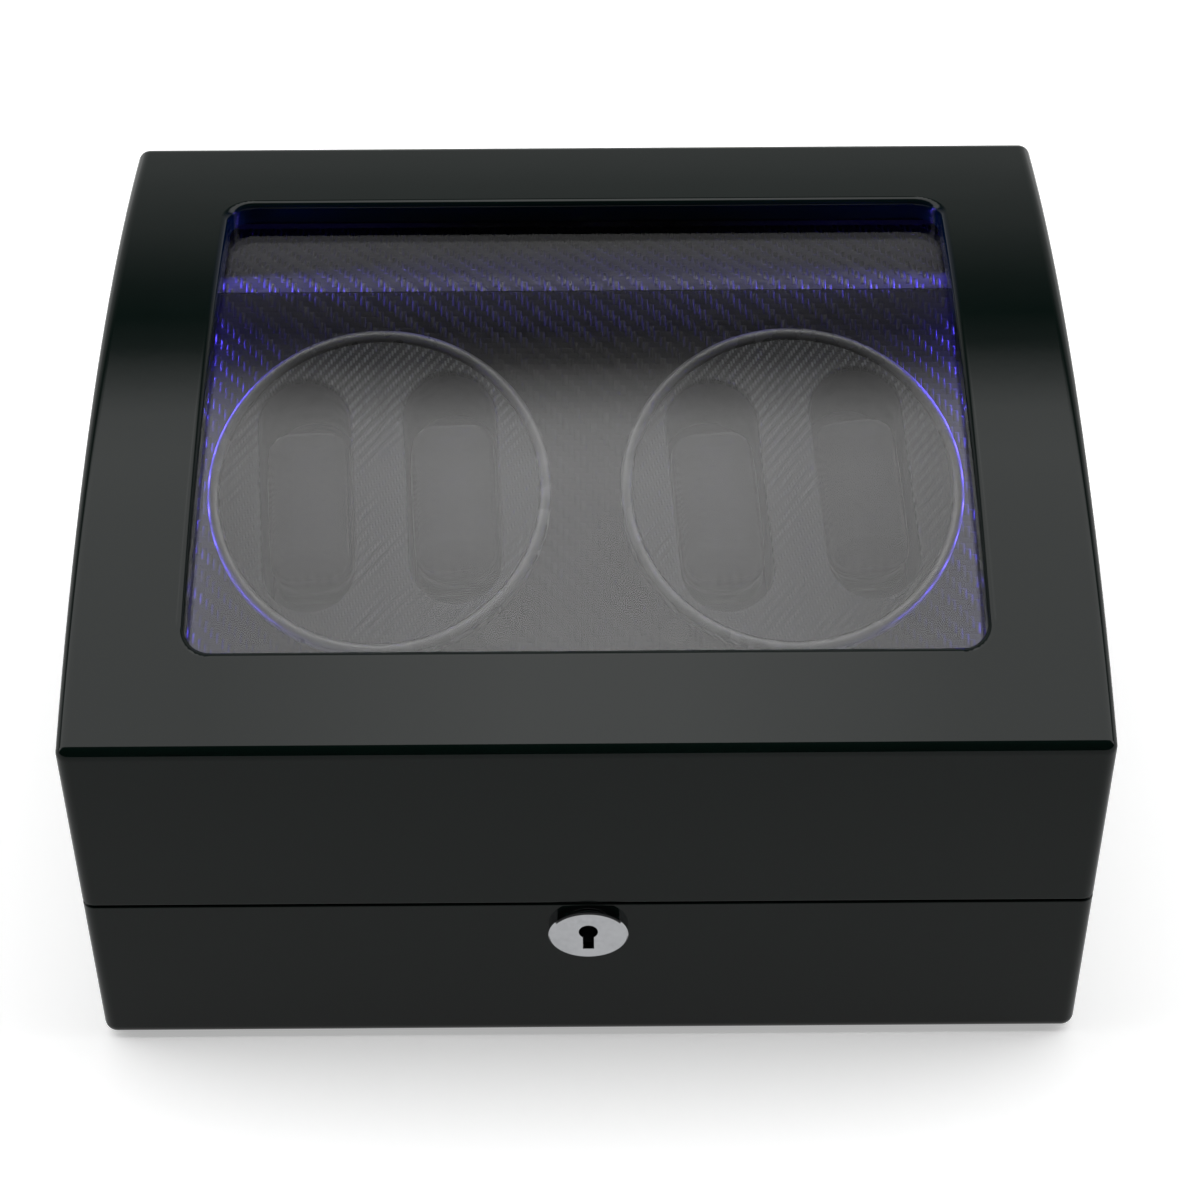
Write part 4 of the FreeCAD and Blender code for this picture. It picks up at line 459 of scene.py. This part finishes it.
# %% Turntable faces
FACE_YARN = 1.0 * MM
FACE_DARK = grey(0.012)
FACE_LIGHT = grey(0.09, -0.02)
FACE_SHINE = 0.11
REST_TURN = {"left": math.radians(3), "right": math.radians(5)}
turned_over = Matrix.Rotation(math.pi, 3, "Y")
face_twill = {}
for side, axis_point in (("left", axis_left), ("right", axis_right)):
    turn = turned_over @ Matrix.Rotation(-REST_TURN[side], 3, "Z") @ on_slope
    face_twill[side] = build_twill("face_twill_" + side, turn, axis_point, FACE_YARN, FACE_DARK,
                                   FACE_LIGHT, FACE_SHINE)
print("finish:", face_twill["left"].name, face_twill["right"].name)


# %% Moulded plastics
MOULDED_INDEX = 1.46
MOULDED_MARKS = 20.0
MOULDED_BUMP = 0.6


def build_moulded(name, dark, light, low, high, grain_size, relief):
    """Moulded plastic: a fine spark-eroded grain under a few handling marks."""
    material, tree, surface = new_material(name, {"IOR": MOULDED_INDEX})
    place = here(tree)
    marks = use(tree, handling_marks, {"Vector": place, "Scale": MOULDED_MARKS, "Low": low,
                                       "High": high})
    grain = use(tree, fine_grain, {"Vector": place, "Size": grain_size})
    plug(tree, surface["Base Color"], blend_colour(tree, grain["Tone"], dark, light))
    plug(tree, surface["Roughness"], marks["Roughness"])
    plug(tree, surface["Normal"], bump(tree, grain["Height"], relief, MOULDED_BUMP))
    return material


satin_grey = build_moulded("satin_grey", grey(0.045), grey(0.065), 0.24, 0.36, 0.25 * MM, 0.006 * MM)
black_plastic = build_moulded("black_plastic", grey(0.004), grey(0.009), 0.38, 0.52, 0.3 * MM,
                              0.02 * MM)
gloss_black = build_moulded("gloss_black", grey(0.006), grey(0.01), 0.06, 0.16, 0.5 * MM, 0.002 * MM)
gear_acetal = build_moulded("gear_acetal", grey(0.72, 0.03), grey(0.82, 0.03), 0.3, 0.42, 0.4 * MM,
                            0.01 * MM)
print("finish:", satin_grey.name, black_plastic.name, gloss_black.name, gear_acetal.name)

# %% [markdown]
# ## Metals
#
# Bright chrome on the keyhole plate, nickel on hinges and lock, zinc on screws and the
# chassis, brass on bushes and pinions. A metal's look is its colour and how its fine scratches run.
# Polished pieces get handling marks, sheet and turned pieces get brushed lines.

# %% Polished and brushed metal
POLISHED_MARKS = 60.0
POLISHED_WIPED = 0.9
BRUSHED_MARKS = 40.0
BRUSHED_WIPED = 0.8
BRUSHED_RELIEF = 0.004 * MM
BRUSHED_BUMP = 0.5


def darker(colour, share):
    """The same colour with a share of its light."""
    return tuple(share * part for part in colour[:3]) + (1.0,)


def build_polished(name, colour, low, high):
    material, tree, surface = new_material(name, {"Metallic": 1.0})
    marks = use(tree, handling_marks, {"Vector": here(tree), "Scale": POLISHED_MARKS, "Low": low,
                                       "High": high})
    wiped = darker(colour, POLISHED_WIPED)
    plug(tree, surface["Base Color"], blend_colour(tree, marks["Mask"], colour, wiped))
    plug(tree, surface["Roughness"], marks["Roughness"])
    return material


def build_brushed(name, colour, low, high):
    material, tree, surface = new_material(name, {"Metallic": 1.0})
    place = here(tree)
    lines = use(tree, brushed_lines, {"Vector": place, "Low": low, "High": high})
    marks = use(tree, handling_marks, {"Vector": place, "Scale": BRUSHED_MARKS})
    wiped = darker(colour, BRUSHED_WIPED)
    plug(tree, surface["Base Color"], blend_colour(tree, marks["Mask"], colour, wiped))
    plug(tree, surface["Roughness"], lines["Roughness"])
    plug(tree, surface["Normal"], bump(tree, lines["Height"], BRUSHED_RELIEF, BRUSHED_BUMP))
    return material


chrome = build_polished("chrome", (0.57, 0.58, 0.6, 1.0), 0.06, 0.13)
plated_steel = build_brushed("plated_steel", (0.62, 0.61, 0.58, 1.0), 0.16, 0.28)
screw_steel = build_brushed("screw_steel", (0.56, 0.56, 0.57, 1.0), 0.22, 0.36)
chassis_steel = build_brushed("chassis_steel", (0.58, 0.59, 0.6, 1.0), 0.26, 0.42)
motor_steel = build_brushed("motor_steel", (0.2, 0.2, 0.21, 1.0), 0.32, 0.46)
bush_brass = build_brushed("bush_brass", (0.72, 0.53, 0.25, 1.0), 0.18, 0.3)
print("metals ready")

# %% [markdown]
# ## Felt, fibreboard and circuit boards
#
# Under the box lies felt, its floor is bare fibreboard, and the lamps and the control board sit on
# printed boards. Felt scatters light at grazing angles, which is what sheen is for. The retainer under
# the pane is painted matt black, so that the lamps do not draw a bright line along it.

# %% Felt and fibreboard
def build_fibre(name, dark, light, size, relief, sheen):
    material, tree, surface = new_material(name, {"Roughness": 0.9, "Sheen Weight": sheen,
                                                  "Sheen Roughness": 0.4, "Specular IOR Level": 0.2})
    place = here(tree)
    grain = use(tree, fine_grain, {"Vector": place, "Size": size})
    patches = add(tree, "TexNoise", {"Vector": place, "Scale": 30.0, "Detail": 6.0})
    shade = calc(tree, "MULTIPLY", grain["Tone"], calc(tree, "MULTIPLY", patches.outputs["Fac"], 2.0))
    plug(tree, surface["Base Color"], blend_colour(tree, shade, dark, light))
    plug(tree, surface["Normal"], bump(tree, grain["Height"], relief))
    return material


base_felt = build_fibre("base_felt", grey(0.008), grey(0.03), 0.5 * MM, 0.2 * MM, 0.25)
floor_board = build_fibre("floor_board", (0.2, 0.135, 0.08, 1.0), (0.4, 0.29, 0.19, 1.0), 0.8 * MM,
                          0.05 * MM, 0.0)
pillow_suede = build_fibre("pillow_suede", grey(0.004), grey(0.016), 0.28 * MM, 0.05 * MM, 0.18)
matt_black = build_fibre("matt_black", grey(0.002), grey(0.005), 0.4 * MM, 0.01 * MM, 0.0)
print("finish:", base_felt.name, floor_board.name, pillow_suede.name, matt_black.name)


# %% Circuit boards
def build_circuit_board():
    """Green solder mask with fine copper tracks under it, on a grid of straight runs."""
    material, tree, surface = new_material("circuit_board", {"Roughness": 0.32})
    tracks = add(tree, "TexBrick", {"Vector": here(tree), "Scale": 260.0, "Mortar Size": 0.05,
                                    "Brick Width": 1.6, "Row Height": 0.5})
    raised = tracks.outputs["Fac"]
    plug(tree, surface["Base Color"], blend_colour(tree, raised, (0.008, 0.05, 0.024, 1.0),
                                                   (0.03, 0.14, 0.06, 1.0)))
    plug(tree, surface["Normal"], bump(tree, raised, 0.03 * MM))
    return material


circuit_board = build_circuit_board()
print("finish:", circuit_board.name)

# %% [markdown]
# ## The blue lamps
#
# Two strips of small lamps light the deck from its sides. A lamp could be a Blender light; as a
# glowing surface it also shows in the pane and the rims, and it goes with the model. Each strip is fed
# from its upper end, so its lamps are brightest there and fade towards the front.

# %% Lit lamps
LAMP_STRENGTH = 2000.0
LAMP_DIM = 0.16
LAMP_FADE = 4.0
LAMP_DEEP = (0.05, 0.03, 0.9, 1.0)
LAMP_PALE = (0.12, 0.08, 1.0, 1.0)


def build_lamp_blue():
    material, tree, surface = new_material(
        "lamp_blue", {"Base Color": (0.5, 0.55, 0.9, 1.0), "Roughness": 0.3,
                      "Emission Strength": LAMP_STRENGTH})
    place = here(tree)
    low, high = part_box("lamp_chips")
    depth = add(tree, "SeparateXYZ", {"Vector": place}).outputs["Y"]
    share = add(tree, "MapRange", {"Value": depth, "From Min": low[1], "From Max": high[1],
                                   "To Min": 0.0, "To Max": 1.0}).outputs["Result"]
    fed = calc(tree, "MULTIPLY_ADD", calc(tree, "POWER", share, LAMP_FADE), 1.0 - LAMP_DIM, LAMP_DIM)
    glow = add(tree, "TexNoise", {"Vector": place, "Scale": 900.0})
    hue = blend_colour(tree, glow.outputs["Fac"], LAMP_DEEP, LAMP_PALE)
    plug(tree, surface["Emission Color"], blend_colour(tree, fed, grey(0.0), hue))
    return material


lamp_blue = build_lamp_blue()
print("finish:", lamp_blue.name)

# %% [markdown]
# ## Hand the finishes out
#
# Each node knows its slot in the record, so one table from slot to finish dresses nearly everything.
# A second table is for single nodes: covered pieces that face another way than the deck, and the
# retainer, which is painted.

# %% Assign materials
by_slot = {
    "black_lacquer": black_lacquer, "floor_board": floor_board, "base_felt": base_felt,
    "clear_acrylic": clear_acrylic, "black_plastic": black_plastic, "satin_grey": satin_grey,
    "pillow_suede": pillow_suede, "chrome": chrome, "gloss_black": gloss_black,
    "plated_steel": plated_steel, "screw_steel": screw_steel, "chassis_steel": chassis_steel,
    "motor_steel": motor_steel, "bush_brass": bush_brass, "gear_acetal": gear_acetal,
    "circuit_board": circuit_board, "lamp_blue": lamp_blue, "twill_leatherette": deck_twill,
}
by_node = {
    "front_rail": lit_rail_twill, "back_panel": lit_rail_twill, "left_cheek": cheek_twill,
    "right_cheek": cheek_twill, "turntable_face_left": face_twill["left"],
    "turntable_face_right": face_twill["right"], "pane_retainer": matt_black,
}
for part in frame["record"]["subparts"]:
    name = part["node"]
    mesh = nodes[name].data
    mesh.materials.clear()
    mesh.materials.append(by_node.get(name, by_slot[part["material_slot"]]))

# %% [markdown]
# ## The pillows
#
# A pillow is foam in a suede cover, with a seam round its shoulder. It could be modelled by hand, but
# a stuffed cover takes its shape from pressure, and cloth simulation gives just that. The solid is
# copied, shrunk a little, remeshed to even squares and blown up from inside, and no point may move
# further than the room in the pocket allows. The seam comes afterwards, because remeshing would
# remove it: points near the seam line are pulled in.

# %% Cushions from the solids
VOXEL = 2.0 * MM
SHRINK = 1.1 * MM
SWELL_LIMIT = 1.2 * MM
PRESSURE = 4.0
FRAMES = 20


def alone(piece):
    """Select one object and make it active."""
    bpy.ops.object.select_all(action="DESELECT")
    piece.select_set(True)
    bpy.context.view_layer.objects.active = piece


def apply_modifier(piece, kind, **settings):
    """Add a modifier, set it and apply it."""
    modifier = piece.modifiers.new(kind.lower(), kind)
    for name, value in settings.items():
        setattr(modifier, name, value)
    alone(piece)
    bpy.ops.object.modifier_apply(modifier=modifier.name)


def cut_cover(node_name, name):
    """A closed, even mesh a little smaller than the pillow's solid."""
    piece = bpy.data.objects.new(name, nodes[node_name].data.copy())
    bpy.context.collection.objects.link(piece)
    alone(piece)
    bpy.ops.object.mode_set(mode="EDIT")
    bpy.ops.mesh.select_all(action="SELECT")
    bpy.ops.mesh.remove_doubles(threshold=0.01 * MM)
    bpy.ops.mesh.normals_make_consistent(inside=False)
    bpy.ops.transform.shrink_fatten(value=-SHRINK)
    bpy.ops.object.mode_set(mode="OBJECT")
    apply_modifier(piece, "REMESH", mode="VOXEL", voxel_size=VOXEL)
    return piece


def stuff(piece):
    """Blow the cover up with cloth pressure, and hold every point near where it was."""
    before = [vertex.co.copy() for vertex in piece.data.vertices]
    cloth = piece.modifiers.new("stuffing", "CLOTH")
    cloth.settings.use_pressure = True
    cloth.settings.uniform_pressure_force = PRESSURE
    cloth.settings.effector_weights.gravity = 0.0
    scene = bpy.context.scene
    for step in range(1, FRAMES + 1):
        scene.frame_set(step)
    alone(piece)
    bpy.ops.object.modifier_apply(modifier=cloth.name)
    scene.frame_set(1)
    for vertex, start in zip(piece.data.vertices, before):
        move = vertex.co - start
        if move.length > SWELL_LIMIT:
            vertex.co = start + move.normalized() * SWELL_LIMIT


# %% Seams
SEAM_BELOW_CROWN = 8.5 * MM
SEAM_WIDTH = 0.9 * MM
SEAM_DEPTH = 0.9 * MM
PUCKERS = 46
PUCKER_DEPTH = 0.12
PUCKER_REACH = 3
SMOOTHING = 2


def lift(point):
    """Height of a point above the deck's upper face."""
    return (point - deck_origin).dot(deck_normal)


def sew_seam(piece, crown):
    """Pull the cover in along the seam line, with a small pucker on each side of it."""
    alone(piece)
    bpy.ops.object.shade_smooth()
    normals = [vertex.normal.copy() for vertex in piece.data.vertices]
    middle = sum((vertex.co for vertex in piece.data.vertices), Vector()) / len(piece.data.vertices)
    for vertex, normal in zip(piece.data.vertices, normals):
        away = (lift(vertex.co) - (crown - SEAM_BELOW_CROWN)) / SEAM_WIDTH
        out = vertex.co - middle
        around = math.atan2(out.dot(up_slope), out.x)
        pucker = PUCKER_DEPTH * math.sin(PUCKERS * around) * math.exp(-(away / PUCKER_REACH) ** 2)
        vertex.co -= normal * SEAM_DEPTH * (math.exp(-away ** 2) + pucker)


pillow_spots = [(side, spot) for side in ("left", "right") for spot in ("outer", "inner")]
for side, spot in pillow_spots:
    node_name = "watch_pillow_%s_%s" % (side, spot)
    cushion = cut_cover(node_name, "cushion_%s_%s" % (side, spot))
    stuff(cushion)
    apply_modifier(cushion, "SUBSURF", levels=SMOOTHING, render_levels=SMOOTHING)
    crown = max(lift(vertex.co) for vertex in cushion.data.vertices)
    sew_seam(cushion, crown)
    cushion.data.materials.clear()
    cushion.data.materials.append(pillow_suede)
    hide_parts(node_name)
    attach(cushion, "pillow_%s_%s" % (side, spot))
    print(cushion.name, "points:", len(cushion.data.vertices), "crown mm:", round(crown / MM, 2))

# %% [markdown]
# ## The studio
#
# The box stands on a pale floor under a long softbox. Black lacquer shows its surroundings more than
# itself, so the studio is drawn with care: bright overhead, a darker gap behind the softbox, a pale
# backdrop low at the back, and a dark room behind the camera. A few lamps could do it, but the soft
# gradients of a light tent are easier as a world whose brightness follows the angle over the box,
# from the back, over the top, to the front. The softbox is also a little brighter in its middle than
# towards its left and right ends.

# %% The light tent
SKY = [(0, 1.2), (12, 0.75), (24, 0.56), (36, 0.44), (44, 0.17), (48.5, 0.09), (52.5, 0.28), (56.5, 1.3),
       (60.5, 2.7), (65.5, 3.3), (94, 3.4), (98, 0.16), (105, 0.08), (118, 0.04), (180, 0.04)]
BRIGHTEST = 3.4
SIDE_START = 0.03
SIDE_END = 0.14
SIDE_LOSS = 0.24


def build_light_tent():
    world = bpy.data.worlds.new("light_tent")
    world.use_nodes = True
    tree = world.node_tree
    split = add(tree, "SeparateXYZ", {"Vector": add(tree, "TexCoord").outputs["Generated"]})
    angle = calc(tree, "ARCTAN2", split.outputs["Z"], split.outputs["Y"])
    share = calc(tree, "MAXIMUM", calc(tree, "DIVIDE", angle, math.pi), 0.0)
    ramp = add(tree, "ValToRGB", {"Fac": share})
    stops = ramp.color_ramp.elements
    while len(stops) < len(SKY):
        stops.new(0.5)
    for stop, (degrees, level) in zip(stops, SKY):
        stop.position = degrees / 180
        stop.color = grey(level / BRIGHTEST)
    sideways_away = calc(tree, "ABSOLUTE", split.outputs["X"])
    loss = add(tree, "MapRange", {"Value": sideways_away, "From Min": SIDE_START, "From Max": SIDE_END,
                                  "To Min": 0.0, "To Max": SIDE_LOSS}).outputs["Result"]
    level = ramp.outputs["Color"]
    kept = calc(tree, "SUBTRACT", 1.0, calc(tree, "MULTIPLY", loss, level))
    background = tree.nodes["Background"]
    plug(tree, background.inputs["Color"], calc(tree, "MULTIPLY", level, kept))
    background.inputs["Strength"].default_value = BRIGHTEST
    bpy.context.scene.world = world
    return world


print("world:", build_light_tent().name)

# %% [markdown]
# ## Blue light along the fold
#
# The upper ends of the lamp strips also shine along the fold, where the ledge turns down into the
# slope, and the raised yarns there catch it as a blue band. The glowing chips are tiny, so a path
# tracer finds this grazing light only by chance. A narrow spot light at each end of the fold stands in
# for it. A single spot would fade too fast along the fold, where a row of lamps goes on, so its
# falloff is gentler.

# %% Spot lights at the ends of the fold
FOLD_POWER = 4.5
FOLD_REACH = 28.0
FOLD_CONE = math.radians(18)
FOLD_ABOVE = 1.8 * MM
FOLD_ASIDE = 7.0 * MM
FOLD_BLUE = (0.1, 0.07, 1.0)
FOLD_SOFTNESS = 1.0 * MM
FOLD_DIP = 0.03


def build_fold_light(name, side):
    """A small blue spot just above the fold, under the lid's frame, shining along it."""
    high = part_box("deck_panel")[1]
    data = bpy.data.lights.new(name, "SPOT")
    data.energy = FOLD_POWER
    data.color = FOLD_BLUE
    data.spot_size = FOLD_CONE
    data.spot_blend = 1.0
    data.shadow_soft_size = FOLD_SOFTNESS
    data.use_nodes = True
    tree = data.node_tree
    gentle = add(tree, "LightFalloff", {"Strength": FOLD_REACH}).outputs["Linear"]
    plug(tree, tree.nodes["Emission"].inputs["Strength"], gentle)
    light = bpy.data.objects.new(name, data)
    bpy.context.collection.objects.link(light)
    place = Vector((side * (high[0] + FOLD_ASIDE), high[1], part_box("back_panel")[1][2] + FOLD_ABOVE))
    aim = Vector((-side, 0.0, -FOLD_DIP))
    turn = aim.to_track_quat("-Z", "Y").to_matrix().to_4x4()
    light.matrix_world = Matrix.Translation(place) @ turn
    return light


for name, side in (("fold_light_left", -1), ("fold_light_right", 1)):
    print("light:", build_fold_light(name, side).name)

# %% [markdown]
# ## Floor
#
# The floor is a wide pale sheet. It glows a little for the camera and through glass, so that it reads as
# white, and keeps its own shading, so that the box stands in its soft shadow. In the lacquer the sheet
# is mirrored nearly even, as a lit sheet is, so for mirrored rays most of its light is its glow.

# %% Pale floor
FLOOR_SIZE = 60.0
FLOOR_GLOW = 0.4
MIRRORED_GLOW = 0.53
FLOOR_PALE = grey(0.93)
FLOOR_MIRRORED = grey(0.2)


def build_floor():
    bpy.ops.object.select_all(action="DESELECT")
    bpy.ops.mesh.primitive_plane_add(size=FLOOR_SIZE, location=(0, 0, cad_box[0][2]))
    floor = bpy.context.active_object
    floor.name = "floor"
    material, tree, surface = new_material("pale_floor", {"Roughness": 0.9, "Specular IOR Level": 0.1})
    rays = add(tree, "LightPath").outputs
    colour = blend_colour(tree, rays["Is Glossy Ray"], FLOOR_PALE, FLOOR_MIRRORED)
    plug(tree, surface["Base Color"], colour)
    seen = calc(tree, "MAXIMUM", rays["Is Camera Ray"], rays["Is Transmission Ray"])
    mirrored = calc(tree, "MULTIPLY", rays["Is Glossy Ray"], MIRRORED_GLOW)
    level = calc(tree, "MULTIPLY_ADD", seen, FLOOR_GLOW, mirrored)
    glow = add(tree, "Emission", {"Color": grey(1.0), "Strength": level})
    both = add(tree, "AddShader", {0: tree.nodes["Principled BSDF"].outputs["BSDF"],
                                   1: glow.outputs["Emission"]})
    plug(tree, tree.nodes["Material Output"].inputs["Surface"], both.outputs["Shader"])
    floor.data.materials.append(material)
    return floor


print("floor:", build_floor().name)

# %% [markdown]
# ## Camera
#
# The camera looks down at the front from about forty degrees, through a long lens, as in a catalogue
# picture. Its place was worked out from the box's own corners, so the render lines up with the
# photograph.

# %% Camera
PICTURE = 1200
FOCAL_PIXELS = 2770.6
SENSOR = 36.0
CAMERA_PLACE = Vector((3.2, -769.4, 759.0)) * MM
LOOK_DOWN = math.radians(41.41)
LOOK_RIGHT = math.radians(0.12)
ROLL = math.radians(-0.3)

camera_data = bpy.data.cameras.new("camera")
camera_data.sensor_width = SENSOR
camera_data.lens = FOCAL_PIXELS / PICTURE * SENSOR
camera = bpy.data.objects.new("camera", camera_data)
bpy.context.collection.objects.link(camera)
aim = Matrix.Rotation(-LOOK_RIGHT, 4, "Z") @ Matrix.Rotation(math.pi / 2 - LOOK_DOWN, 4, "X")
camera.matrix_world = Matrix.Translation(CAMERA_PLACE) @ aim @ Matrix.Rotation(ROLL, 4, "Z")
bpy.context.scene.camera = camera
bpy.context.scene.view_settings.view_transform = "Standard"
print("lens in mm:", round(camera_data.lens, 1))
